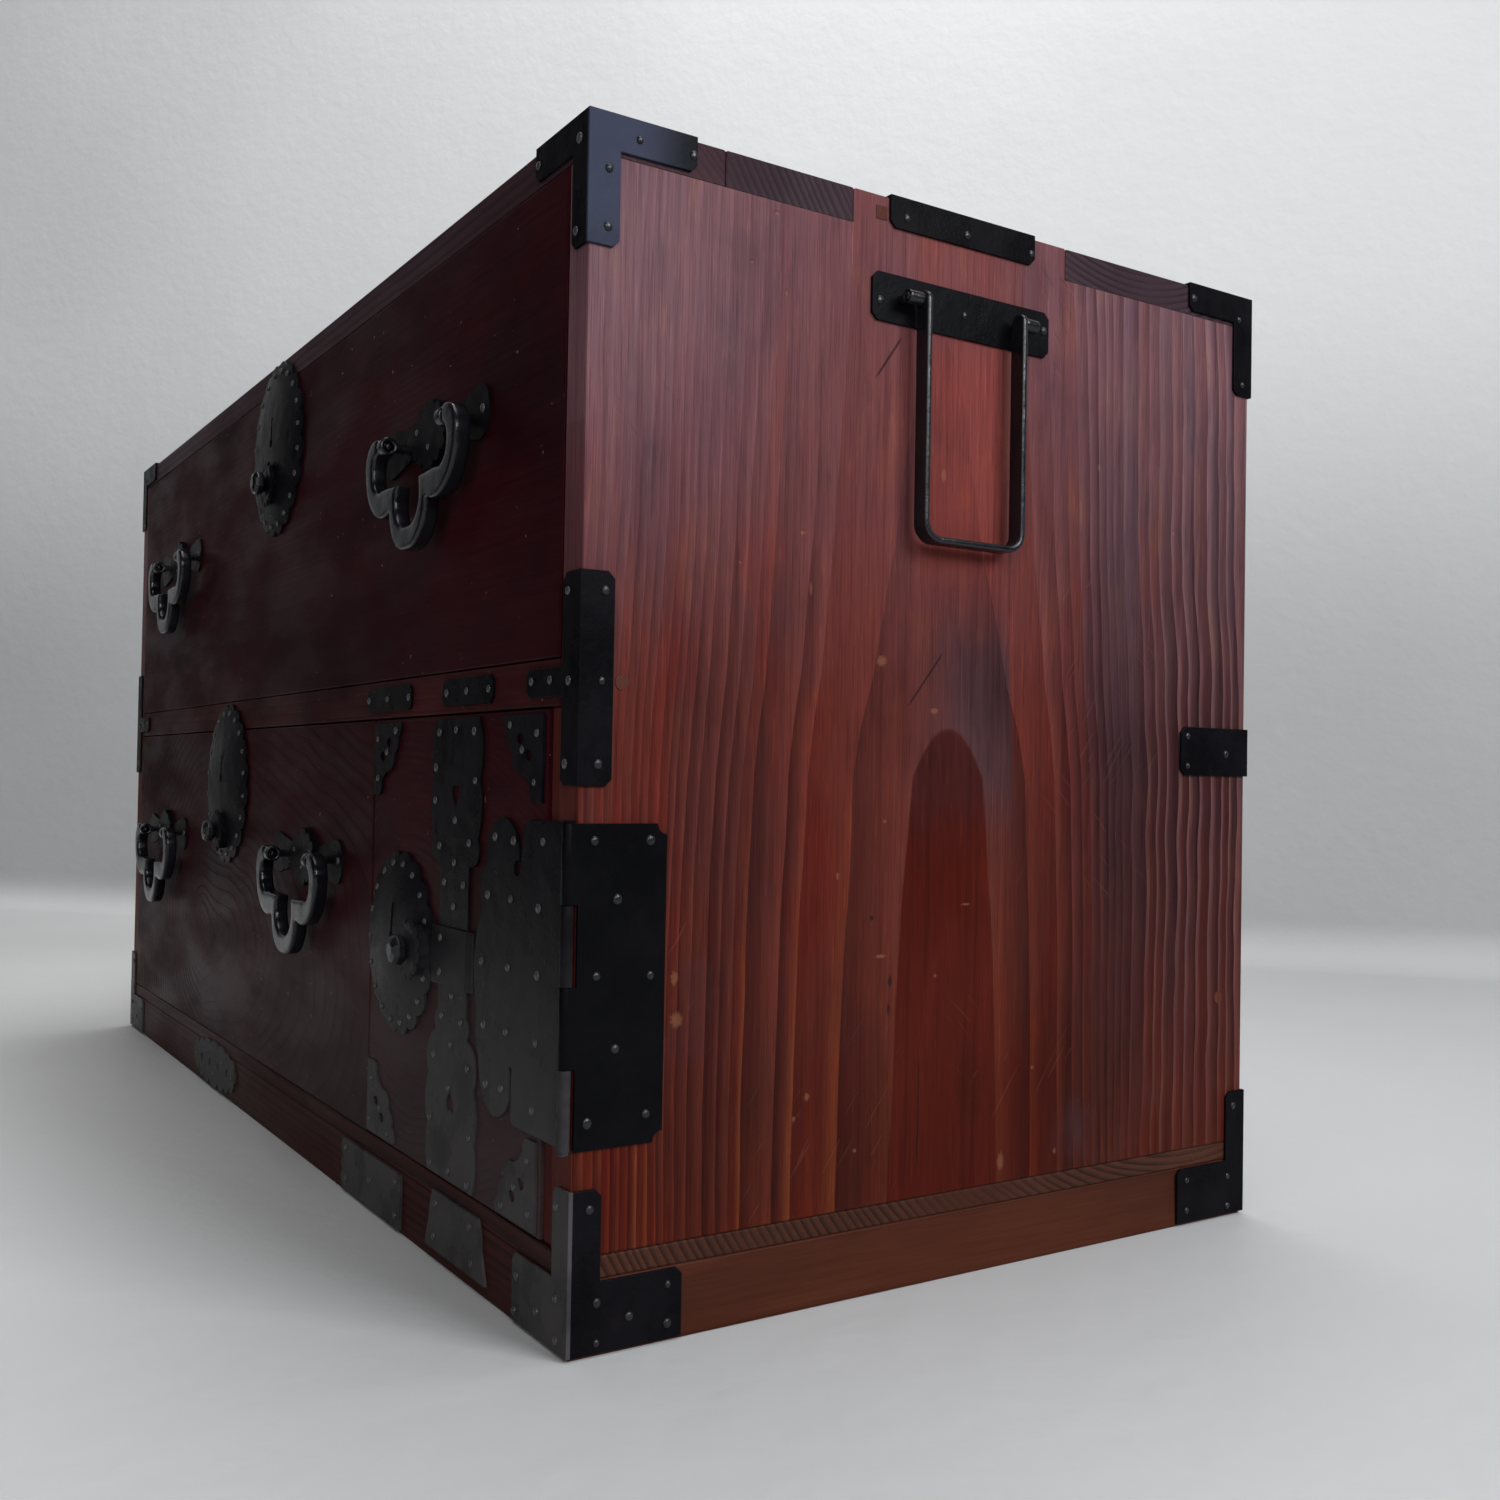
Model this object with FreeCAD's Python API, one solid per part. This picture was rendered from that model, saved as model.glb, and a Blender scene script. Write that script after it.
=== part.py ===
import FreeCAD, Part
import math
import os

Vector = FreeCAD.Vector

# Clothing chest with one wide drawer, a narrower drawer and a locker with a door, in millimetres.
# +X is to the right seen from the front, +Y to the back, +Z up. The origin is on the floor, under
# the middle of the chest with its fittings: the knobs reach further out than the irons at the back.

# Case
case_width = 900.0
case_depth = 410.0
case_height = 506.0
side_thickness = 18.0
top_thickness = 16.0
top_front_plank_width = 65.0
finger_start = 134.0
finger_length = 134.0
bottom_thickness = 9.5
base_height = 31.0
base_thickness = 24.0
back_thickness = 9.0
back_board_count = 3
lower_opening_height = 223.5
middle_rail_height = 20.0
middle_rail_depth = 45.0
dust_board_thickness = 9.0
locker_width = 246.0
divider_thickness = 14.0
jamb_width = 9.5
jamb_depth = 30.0
jamb_setback = 1.5

# Drawers and door
front_thickness = 18.0
front_proud = 0.5
front_gap = 0.8
edge_round = 0.9
running_clearance = 0.4
divider_gap = 0.5
drawer_side_thickness = 11.0
drawer_back_thickness = 11.0
drawer_bottom_thickness = 7.0
drawer_lap = 7.0
drawer_side_drop = 12.0
drawer_back_drop = 22.0
drawer_rear_gap = 4.0

# Sheet iron
iron_thickness = 1.4
iron_clip = 3.0
overrun = 2.0

# Corner irons
top_iron_arm = 50.0
top_iron_leg = 54.0
top_iron_arm_width = 14.0
top_iron_leg_width = 13.5
bottom_iron_lift = 1.5
bottom_iron_foot = 52.0
bottom_iron_foot_height = 29.0
bottom_iron_leg = 66.5
bottom_iron_leg_width = 13.5
middle_strap_rise = 1.0
middle_strap_height = 88.0
middle_strap_width = 14.5
middle_strap_arm = 49.0
middle_strap_arm_height = 12.5
rear_strap_level_share = 0.502
rear_strap_height = 26.0
rear_strap_side = 53.0
rear_strap_back = 40.0
top_strap_length = 91.0
top_strap_drop = 13.5
top_strap_lap = 18.0

# Plates on the rails
rail_plate_height = 13.0
rail_plate_long = 68.0
rail_plate_short = 61.0
rail_plate_long_from_right = 224.0
rail_plate_short_from_right = 116.0
base_plate_height = 28.0
base_plate_lift = 2.0
long_base_plate_length = 95.0
long_base_plate_from_right = 238.5
tapered_base_plate_length = 74.0
tapered_base_plate_from_right = 118.5
tapered_base_plate_lift = 6.0
scalloped_base_plate_length = 124.0
scalloped_base_plate_height = 33.0
scalloped_base_plate_from_right = 586.0

# Corner hinge of the door
hinge_rise_share = 0.1946
hinge_height_share = 0.5906
hinge_thickness = 1.5
hinge_knuckle_radius = 2.75
hinge_pin_radius = 1.4
hinge_pin_fit = 0.05
hinge_knuckle_gap = 0.3
hinge_knuckle_count = 4
hinge_notch_clearance = 0.7
hinge_door_reach = 98.0
hinge_case_reach = 41.0
hinge_case_notch = 4.5
hinge_pin_cap_radius = 2.3
hinge_pin_cap_height = 1.2

# Irons of the door
door_strap_width = 63.0
door_strap_from_right = 126.0
door_strap_thickness = 1.2
door_strap_margin = 1.5
strap_drop_width = 10.0
strap_drop_height = 13.0
door_corner_width = 41.0
door_corner_height = 38.0
door_corner_margin = 2.0
door_corner_hole_width = 5.0
door_corner_hole_height = 7.0
lock_arm_height = 28.0
lock_arm_slope = 5.0
lock_arm_side_gap = 1.0

# Round lock plates
door_plate_radius = 47.0
door_plate_petals = 18
door_plate_from_right = 198.5
door_lock_level_share = 0.481
drawer_plate_radius = 57.5
drawer_plate_petals = 20
petal_depth_share = 0.06
top_plate_drop = 42.5
lower_plate_rise = 1.5
plate_dome = 4.5
keyhole_width = 3.0
keyhole_height = 17.0
keyhole_rise = 12.0
collar_radius = 13.0
collar_petals = 10

# Turn knobs, cranks, bolts and lock cases
knob_radius = 11.0
knob_length = 15.0
knob_gap = 0.3
knob_sides = 8
knob_drop_top = 24.0
knob_drop_lower = 34.0
knob_offset_door = 31.0
spindle_radius = 3.0
spindle_clearance = 0.1
crank_radius = 8.0
crank_tip_radius = 1.5
crank_neck_width = 1.4
crank_thickness = 3.0
crank_half_turn = 22.5
crank_side_gap = 0.8
bolt_width = 10.0
bolt_thickness = 4.0
bolt_gap = 0.3
bolt_offset = 6.0
bolt_tail = 10.0
bolt_notch_depth = 4.5
bolt_notch_clearance = 0.15
bolt_recess = 1.0
mortise_clearance = 0.6
mortise_depth = 8.5
door_mortise_depth = 5.5
lock_case_wall = 1.2
lock_case_depth = 8.0
lock_case_margin = 4.0
lock_case_tail = 16.0
door_lock_case_gap = 2.6

# Trefoil pulls
pull_spread_top_share = 0.3293
pull_spread_lower_share = 0.3121
pull_level_top_share = 0.584
pull_level_lower_share = 0.639
bail_width = 126.0
bail_height = 59.0
bail_thickness = 10.0
bail_bevel = 1.2
bail_pin_radius = 2.6
pull_standoff = 10.5
pull_eye_offset = 40.5
pull_eye_width = 6.0
pull_eye_wall = 2.2
pull_eye_neck = 4.2
pull_eye_depth = 12.0
eye_fit = 0.08
eye_side_gap = 0.4
eye_hole_clearance = 0.1
pull_plate_width = 142.0
pull_plate_height = 27.0
crest_width = 46.0
crest_height = 33.0
crest_thickness = 2.4

# Carrying handles
handle_from_front = 200.0
handle_down = 47.0
handle_plate_width = 111.0
handle_plate_height = 22.5
handle_standoff = 8.0
handle_width = 63.0
handle_drop = 113.0
handle_bar_thickness = 3.2
handle_bar_depth = 9.0
handle_bend_radius = 10.0
handle_bar_round = 0.8
handle_pin_radius = 2.0
handle_eye_width = 9.0
handle_eye_wall = 1.3
handle_eye_neck = 3.0
handle_eye_depth = 12.0

# Outlines, as shares of each plate's own width and height. Two shares are a corner or the end
# of a straight run, four are the middle and the end of an arc.
trefoil_outer_shares = [
    (0.355, 0.08), (0.465, 0.035, 0.5, -0.22), (0.43, -0.54, 0.2, -0.62),
    (0.145, -0.9, 0, -1.0),
]
trefoil_inner_shares = [
    (0.355, -0.08), (0.4, -0.13, 0.405, -0.22), (0.375, -0.36, 0.3, -0.385), (0.105, -0.4),
    (0.125, -0.63, 0, -0.78),
]
pull_plate_shares = [
    (0, 0.5), (0.035, 0.53, 0.06, 0.4), (0.095, 0.45, 0.12, 0.3), (0.2, 0.28), (0.4, 0.47),
    (0.475, 0.36, 0.5, 0),
]
crest_shares = [
    (0, 0.5), (0.1, 0.52, 0.15, 0.38), (0.27, 0.44, 0.32, 0.26), (0.44, 0.28, 0.42, 0.1),
    (0.47, 0.06, 0.5, 0),
]
door_strap_shares = [
    (0, 1), (0.42, 1), (0.5, 0.935, 0.45, 0.868), (0.5, 0.8, 0.435, 0.742),
    (0.45, 0.7, 0.3, 0.683), (0.28, 0.672), (0.28, 0.36), (0.335, 0.336, 0.3, 0.314),
    (0.36, 0.308), (0.47, 0.275, 0.445, 0.215), (0.5, 0.16, 0.45, 0.1), (0.48, 0.05, 0.44, 0),
    (0, 0),
]
drop_shares = [(0, -0.5), (0.12, -0.26, 0.36, -0.06), (0.5, 0.28, 0.22, 0.46), (0, 0.36)]
door_corner_shares = [
    (0, 0), (1, 0), (0.98, 0.12, 0.9, 0.2), (0.86, 0.36, 0.76, 0.42), (0.74, 0.56, 0.62, 0.66),
    (0.44, 0.7, 0.3, 0.84), (0.27, 0.96, 0.18, 1.0), (0, 1),
]
door_corner_hole_shares = [(0.34, 0.46), (0.56, 0.27)]
door_leaf_shares = [
    (0, 0), (-0.5, 0), (-0.545, 0.01, -0.553, 0.04), (-0.553, 0.165),
    (-0.567, 0.186, -0.581, 0.165), (-0.575, 0.08), (-0.72, 0, -0.885, 0.07),
    (-0.91, 0.11, -0.925, 0.175), (-0.962, 0.25, -0.955, 0.325), (-1, 0.49, -0.957, 0.63),
    (-0.925, 0.66, -0.912, 0.69), (-0.93, 0.76, -0.868, 0.84), (-0.683, 1, -0.515, 0.86),
    (-0.55, 0.815, -0.5, 0.83), (-0.475, 0.94), (-0.445, 0.99, -0.386, 1), (0, 1),
]
scalloped_base_shares = [
    (0, 0.5), (0.06, 0.48, 0.1, 0.36), (0.17, 0.5, 0.24, 0.34), (0.31, 0.42, 0.36, 0.26),
    (0.44, 0.3, 0.46, 0.14), (0.49, 0.1, 0.5, 0),
]
scalloped_hole_shares = [-0.3, -0.1, 0.1, 0.3]
scalloped_hole_radius = 3.0
long_base_plate_shares = [
    (0.5, -0.5), (0.5, 0.5), (-0.46, 0.5), (-0.5, 0.32, -0.47, 0.14), (-0.5, 0, -0.47, -0.14),
    (-0.5, -0.32, -0.46, -0.5),
]
tapered_base_plate_shares = [
    (-0.5, 0), (0.5, 0), (0.46, 0.3, 0.43, 0.5), (0.41, 0.8, 0.375, 1), (-0.375, 1),
    (-0.41, 0.8, -0.43, 0.5), (-0.46, 0.3, -0.5, 0),
]
knob_section_shares = [(0.6, 0), (0.68, 0.12), (1.0, 0.42), (1.0, 0.6), (0.66, 0.92), (0.2, 1.0)]

# Places worked out from the sizes
half_width = case_width / 2
front_reach = front_proud + plate_dome + 2 * iron_thickness + knob_gap + knob_length
case_middle_y = (front_reach - iron_thickness) / 2
front_y = case_middle_y - case_depth / 2
rear_y = case_middle_y + case_depth / 2
inner_x = half_width - side_thickness
case_floor = base_height + bottom_thickness
ceiling = case_height - top_thickness
rail_bottom = case_floor + lower_opening_height
rail_top = rail_bottom + middle_rail_height
back_front_y = rear_y - back_thickness
face_y = front_y - front_proud
face_back_y = face_y + front_thickness
seam_x = half_width - locker_width
divider_left = seam_x - divider_thickness / 2
divider_right = seam_x + divider_thickness / 2
divider_front_y = face_back_y + divider_gap
jamb_x = inner_x - jamb_width
door_left = seam_x + front_gap
door_right = jamb_x - front_gap
door_bottom = case_floor + front_gap
door_top = rail_bottom - front_gap
hinge_bottom = case_floor + hinge_rise_share * lower_opening_height
hinge_height = hinge_height_share * lower_opening_height
hinge_y = face_y - hinge_knuckle_radius
hinge_x = half_width + hinge_thickness - hinge_knuckle_radius
door_plate_x = half_width - door_plate_from_right
door_lock_level = door_bottom + door_lock_level_share * (door_top - door_bottom)
door_knob_x = door_plate_x + knob_offset_door
top_drawer_top = ceiling - front_gap
lower_drawer_top = rail_bottom - front_gap
top_drawer_bottom_z = rail_top + running_clearance
lower_drawer_bottom_z = case_floor + running_clearance
lower_drawer_left = -inner_x + front_gap
lower_drawer_right = seam_x - front_gap
lower_drawer_middle = (lower_drawer_left + lower_drawer_right) / 2
top_plate_level = ceiling - top_plate_drop
lower_plate_level = rail_top - lower_plate_rise - drawer_plate_radius
handle_level = case_height - handle_down


def span(low, high):
    # A box between two opposite corners.
    size = Vector(*high) - Vector(*low)
    return Part.makeBox(size.x, size.y, size.z, Vector(*low))


def rod(radius, start, end):
    line = Vector(*end) - Vector(*start)
    return Part.makeCylinder(radius, line.Length, Vector(*start), line)


def moved(shape, x, y, z):
    copy = shape.copy()
    copy.translate(Vector(x, y, z))
    return copy


def flipped(shape, normal):
    return shape.mirror(Vector(0, 0, 0), Vector(*normal))


def across(shape):
    # The same piece on the other side of the case.
    return flipped(shape, (1, 0, 0))


def to_rear(shape):
    # The same piece at the back of the case.
    return moved(flipped(shape, (0, 1, 0)), 0, 2 * case_middle_y, 0)


def path_edges(shares, width, height):
    # Edges in the XZ plane along a list of corners and arcs.
    edges = []
    here = Vector(shares[0][0] * width, 0, shares[0][1] * height)
    for entry in shares[1:]:
        there = Vector(entry[-2] * width, 0, entry[-1] * height)
        if len(entry) == 2:
            edges.append(Part.makeLine(here, there))
        else:
            middle = Vector(entry[0] * width, 0, entry[1] * height)
            edges.append(Part.Arc(here, middle, there).toShape())
        here = there
    return edges


def mirrored_edges(edges, normal):
    return edges + [flipped(edge, normal) for edge in edges]


def face_of(edges):
    return Part.Face(Part.Wire(Part.__sortEdges__(edges)))


def closed_face(shares, width, height):
    edges = path_edges(shares, width, height)
    start = edges[0].firstVertex().Point
    end = Vector(shares[-1][-2] * width, 0, shares[-1][-1] * height)
    if shares[-1][-2:] != shares[0]:
        edges.append(Part.makeLine(end, start))
    return face_of(edges)


def sheet(face, thickness):
    # A flat plate, its back in the XZ plane and its face towards -Y.
    return face.extrude(Vector(0, -thickness, 0))


def polygon_face(points):
    corners = [Vector(u, 0, v) for u, v in points]
    return Part.Face(Part.makePolygon(corners + corners[:1]))


def clipped_plate(width, height, thickness, clip, corners=("left", "right", "low", "high")):
    # A plate round the origin. Its named sides give the corners that are clipped.
    points = []
    for side_u, side_v in ((1, 1), (-1, 1), (-1, -1), (1, -1)):
        named_u = "right" if side_u > 0 else "left"
        named_v = "high" if side_v > 0 else "low"
        u = side_u * width / 2
        v = side_v * height / 2
        if named_u in corners and named_v in corners:
            first = (u - side_u * clip, v)
            second = (u, v - side_v * clip)
            points += [first, second] if side_u * side_v < 0 else [second, first]
        else:
            points.append((u, v))
    return sheet(polygon_face(points), thickness)


def on_right_side(shape):
    # Turns a piece from the front plane to the right side, its face towards +X.
    copy = shape.copy()
    copy.rotate(Vector(0, 0, 0), Vector(0, 0, 1), 90)
    return copy


def softened(shape, y, radius):
    # Rounds the edges that lie in the plane at y.
    edges = []
    for edge in shape.Edges:
        if all(abs(vertex.Point.y - y) < radius / 2 for vertex in edge.Vertexes):
            edges.append(edge)
    return shape.makeFillet(radius, edges)


# Case boards

def top_front_plank():
    low = (-half_width, front_y, ceiling)
    high = (half_width, front_y + top_front_plank_width, case_height)
    return span(low, high).cut(bolt_mortise(0, ceiling))


def finger(side):
    inner = side * inner_x
    outer = side * half_width
    y = front_y + finger_start
    return span((min(inner, outer), y, ceiling), (max(inner, outer), y + finger_length, case_height))


def top_main_plank():
    plank = span((-half_width, front_y + top_front_plank_width, ceiling), (half_width, rear_y, case_height))
    return plank.cut(finger(1)).cut(finger(-1))


def side_board():
    # The right side. Its finger fills the notch in the top.
    board = span((inner_x, front_y, case_floor), (half_width, rear_y, ceiling))
    board = board.fuse(finger(1)).removeSplitter()
    for side in (1, -1):
        board = board.cut(handle_eye_neck_hole(side))
    return board


def back_boards():
    height = (ceiling - case_floor) / back_board_count
    boards = []
    for number in range(back_board_count):
        low = case_floor + number * height
        boards.append(span((-inner_x, back_front_y, low), (inner_x, rear_y, low + height)))
    return Part.makeCompound(boards)


def base_rails():
    inner = half_width - base_thickness
    front = span((-half_width, front_y, 0), (half_width, front_y + base_thickness, base_height))
    rear = span((-half_width, rear_y - base_thickness, 0), (half_width, rear_y, base_height))
    right = span((inner, front_y + base_thickness, 0), (half_width, rear_y - base_thickness, base_height))
    return Part.makeCompound([front, rear, right, across(right)])


def bottom_board():
    return span((-half_width, front_y, base_height), (half_width, rear_y, case_floor))


def bolt_mortise(x, underside):
    # The pocket over a drawer's bolt.
    left = x + bolt_offset - mortise_clearance
    right = x + bolt_offset + bolt_width + mortise_clearance
    near = face_back_y + bolt_gap - mortise_clearance
    far = face_back_y + bolt_gap + bolt_thickness + mortise_clearance
    return span((left, near, underside - overrun), (right, far, underside + mortise_depth))


def middle_rail():
    rail = span((-inner_x, front_y, rail_bottom), (inner_x, front_y + middle_rail_depth, rail_top))
    return rail.cut(bolt_mortise(lower_drawer_middle, rail_bottom))


def dust_board():
    low = rail_top - dust_board_thickness
    return span((-inner_x, front_y + middle_rail_depth, low), (inner_x, back_front_y, rail_top))


def locker_divider():
    # It is lower under the middle rail than under the dust board behind it.
    rail_back = front_y + middle_rail_depth
    under_board = rail_top - dust_board_thickness
    front_part = span((divider_left, divider_front_y, case_floor), (divider_right, rail_back, rail_bottom))
    rear_part = span((divider_left, rail_back, case_floor), (divider_right, back_front_y, under_board))
    divider = front_part.fuse(rear_part).removeSplitter()
    low = door_lock_level + bolt_offset - mortise_clearance
    high = door_lock_level + bolt_offset + bolt_width + mortise_clearance
    far = face_back_y + bolt_gap + bolt_thickness + mortise_clearance
    near = divider_front_y - overrun
    mortise = span((divider_right - door_mortise_depth, near, low), (divider_right + overrun, far, high))
    return divider.cut(mortise)


def door_jamb():
    y = front_y + jamb_setback
    return span((jamb_x, y, case_floor), (inner_x, y + jamb_depth, rail_bottom))


# Irons of the case

def corner_outline(arm, arm_width, leg, leg_width):
    # An L with its corner at the origin, wrapped round the corner by its own thickness.
    over = iron_thickness
    return polygon_face([
        (over, over), (over, -leg), (iron_clip - leg_width, -leg), (-leg_width, iron_clip - leg),
        (-leg_width, -arm_width), (iron_clip - arm, -arm_width), (-arm, iron_clip - arm_width), (-arm, over),
    ])


def top_corner_iron():
    # Three faces: front, right side and top.
    outline = corner_outline(top_iron_arm, top_iron_arm_width, top_iron_leg, top_iron_leg_width)
    front = moved(sheet(outline, iron_thickness), half_width, front_y, case_height)
    side = on_right_side(sheet(flipped(outline, (1, 0, 0)), iron_thickness))
    side = moved(side, half_width, front_y, case_height)
    lid = corner_outline(top_iron_arm, top_iron_arm_width, top_iron_arm, top_iron_arm_width)
    lid = sheet(lid, iron_thickness)
    lid.rotate(Vector(0, 0, 0), Vector(1, 0, 0), -90)
    lid = moved(flipped(lid, (0, 1, 0)), half_width, front_y, case_height)
    return front.fuse([side, lid]).removeSplitter()


def bottom_corner_iron():
    # Two faces: front and right side, with a tall foot and a narrow leg.
    outline = corner_outline(bottom_iron_foot, bottom_iron_foot_height, bottom_iron_leg,
                             bottom_iron_leg_width)
    outline = flipped(outline, (0, 0, 1))
    foot = span((-case_width, -case_depth, -iron_thickness), (case_width, case_depth, 0))
    front = sheet(outline, iron_thickness)
    side = on_right_side(sheet(flipped(outline, (1, 0, 0)), iron_thickness))
    iron = front.fuse(side).cut(foot).removeSplitter()
    return moved(iron, half_width, front_y, bottom_iron_lift)


def middle_corner_strap():
    # Wraps the front corner and reaches along the middle rail.
    t = iron_thickness
    rail_middle = (rail_bottom + rail_top) / 2
    middle = rail_middle + middle_strap_rise
    corners = ("left", "low", "high")
    width = middle_strap_width + t
    front = clipped_plate(width, middle_strap_height, t, iron_clip, corners)
    front = moved(front, half_width + t - width / 2, front_y, middle)
    side = clipped_plate(width, middle_strap_height, t, iron_clip, ("right", "low", "high"))
    side = moved(on_right_side(side), half_width, front_y - t + width / 2, middle)
    arm = clipped_plate(middle_strap_arm, middle_strap_arm_height, t, iron_clip, corners)
    arm = moved(arm, half_width - middle_strap_arm / 2, front_y, rail_middle)
    return front.fuse([side, arm]).removeSplitter()


def rear_middle_strap():
    t = iron_thickness
    middle = rear_strap_level_share * case_height
    side_length = rear_strap_side + t
    side = clipped_plate(side_length, rear_strap_height, t, iron_clip, ("left", "low", "high"))
    side = moved(on_right_side(side), half_width, rear_y + t - side_length / 2, middle)
    low = middle - rear_strap_height / 2
    back = span((half_width - rear_strap_back, rear_y, low),
                (half_width + t, rear_y + t, low + rear_strap_height))
    return side.fuse(back).removeSplitter()


def rear_irons():
    top = to_rear(top_corner_iron())
    bottom = to_rear(bottom_corner_iron())
    strap = rear_middle_strap()
    pieces = [top, bottom, strap]
    return Part.makeCompound(pieces + [across(piece) for piece in pieces])


def top_edge_strap():
    # Folded over the top edge of the right side, above the handle.
    t = iron_thickness
    drop = top_strap_drop + t
    middle_y = front_y + handle_from_front
    side = clipped_plate(top_strap_length, drop, t, iron_clip, ("left", "right", "low"))
    side = moved(on_right_side(side), half_width, middle_y, case_height + t - drop / 2)
    low_y = middle_y - top_strap_length / 2
    lid = span((half_width - top_strap_lap, low_y, case_height),
               (half_width + t, low_y + top_strap_length, case_height + t))
    return side.fuse(lid).removeSplitter()


def middle_rail_plates():
    middle = (rail_bottom + rail_top) / 2
    plates = []
    for length, from_right in ((rail_plate_long, rail_plate_long_from_right),
                               (rail_plate_short, rail_plate_short_from_right)):
        plate = clipped_plate(length, rail_plate_height, iron_thickness, iron_clip)
        plates.append(moved(plate, half_width - from_right, front_y, middle))
    return Part.makeCompound(plates)


def base_rail_plates():
    long_face = closed_face(long_base_plate_shares, long_base_plate_length, base_plate_height)
    long_plate = sheet(long_face, iron_thickness)
    level = base_plate_lift + base_plate_height / 2
    long_plate = moved(long_plate, half_width - long_base_plate_from_right, front_y, level)
    tapered_face = closed_face(tapered_base_plate_shares, tapered_base_plate_length, base_plate_height)
    tapered = moved(sheet(tapered_face, iron_thickness), half_width - tapered_base_plate_from_right,
                    front_y, tapered_base_plate_lift)
    edges = path_edges(scalloped_base_shares, scalloped_base_plate_length, scalloped_base_plate_height)
    edges = mirrored_edges(mirrored_edges(edges, (0, 0, 1)), (1, 0, 0))
    scalloped = sheet(face_of(edges), iron_thickness)
    for share in scalloped_hole_shares:
        x = share * scalloped_base_plate_length
        hole = rod(scalloped_hole_radius, (x, overrun, 0), (x, -iron_thickness - overrun, 0))
        scalloped = scalloped.cut(hole)
    level = base_plate_lift + scalloped_base_plate_height / 2
    scalloped = moved(scalloped, half_width - scalloped_base_plate_from_right, front_y, level)
    return Part.makeCompound([long_plate, tapered, scalloped])


# Corner hinge

def knuckle_span(number):
    # Lowest and highest level of one knuckle, counted from the bottom.
    pitch = hinge_height / hinge_knuckle_count
    low = hinge_bottom + number * pitch
    return low + hinge_knuckle_gap / 2, low + pitch - hinge_knuckle_gap / 2


def knuckles(first):
    rings = []
    for number in range(first, hinge_knuckle_count, 2):
        low, high = knuckle_span(number)
        rings.append(rod(hinge_knuckle_radius, (hinge_x, hinge_y, low), (hinge_x, hinge_y, high)))
    return rings


def hinge_notches(first):
    # Room round the other leaf's knuckles.
    radius = hinge_knuckle_radius + hinge_notch_clearance
    notches = []
    for number in range(first, hinge_knuckle_count, 2):
        low, high = knuckle_span(number)
        low = low - hinge_knuckle_gap
        high = high + hinge_knuckle_gap
        notches.append(span((hinge_x - radius, hinge_y - radius, low),
                            (hinge_x + radius, hinge_y + radius, high)))
    return notches


def hinge_bore():
    return rod(hinge_pin_radius + hinge_pin_fit, (hinge_x, hinge_y, hinge_bottom - overrun),
               (hinge_x, hinge_y, hinge_bottom + hinge_height + overrun))


def hinge_door_leaf():
    leaf = sheet(closed_face(door_leaf_shares, hinge_door_reach, hinge_height), hinge_thickness)
    leaf = moved(leaf, hinge_x, face_y, hinge_bottom)
    for notch in hinge_notches(1):
        leaf = leaf.cut(notch)
    return leaf.fuse(knuckles(0)).cut(hinge_bore()).removeSplitter()


def hinge_case_leaf():
    # Its free corners are notched by a quarter circle.
    reach = hinge_case_reach + front_y - hinge_y
    low = (half_width, hinge_y, hinge_bottom)
    high = (half_width + hinge_thickness, hinge_y + reach, hinge_bottom + hinge_height)
    leaf = span(low, high)
    for level in (hinge_bottom, hinge_bottom + hinge_height):
        notch = rod(hinge_case_notch, (half_width - overrun, hinge_y + reach, level),
                    (half_width + hinge_thickness + overrun, hinge_y + reach, level))
        leaf = leaf.cut(notch)
    for notch in hinge_notches(0):
        leaf = leaf.cut(notch)
    return leaf.fuse(knuckles(1)).cut(hinge_bore()).removeSplitter()


def hinge_pin():
    low = hinge_bottom
    high = hinge_bottom + hinge_height
    pin = rod(hinge_pin_radius, (hinge_x, hinge_y, low), (hinge_x, hinge_y, high))
    foot = rod(hinge_pin_cap_radius, (hinge_x, hinge_y, low - hinge_pin_cap_height), (hinge_x, hinge_y, low))
    head = rod(hinge_pin_cap_radius, (hinge_x, hinge_y, high),
               (hinge_x, hinge_y, high + hinge_pin_cap_height))
    return pin.fuse([foot, head]).removeSplitter()


# Locks

def petal_disc(radius, petals, thickness):
    # A flat disc with a scalloped rim, its back in the XZ plane.
    valley = radius * (1 - petal_depth_share)
    edges = []
    for number in range(petals):
        corners = []
        for share, reach in ((0, valley), (0.5, radius), (1, valley)):
            angle = 2 * math.pi * (number + share) / petals
            corners.append(Vector(reach * math.sin(angle), 0, reach * math.cos(angle)))
        edges.append(Part.Arc(*corners).toShape())
    return Part.Face(Part.Wire(edges)).extrude(Vector(0, -thickness, 0))


def keyhole(near, far):
    # A slit with a round lower end, above the middle of a lock plate.
    low = keyhole_rise - keyhole_height / 2
    slit = span((-keyhole_width / 2, near, low), (keyhole_width / 2, far, low + keyhole_height))
    return slit.fuse(rod(keyhole_width, (0, near, low), (0, far, low)))


def wood_keyhole(x, z):
    # The same opening through the wood behind the plate, to the works of the lock.
    return moved(keyhole(-overrun, front_thickness + overrun), x, face_y, z)


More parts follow.
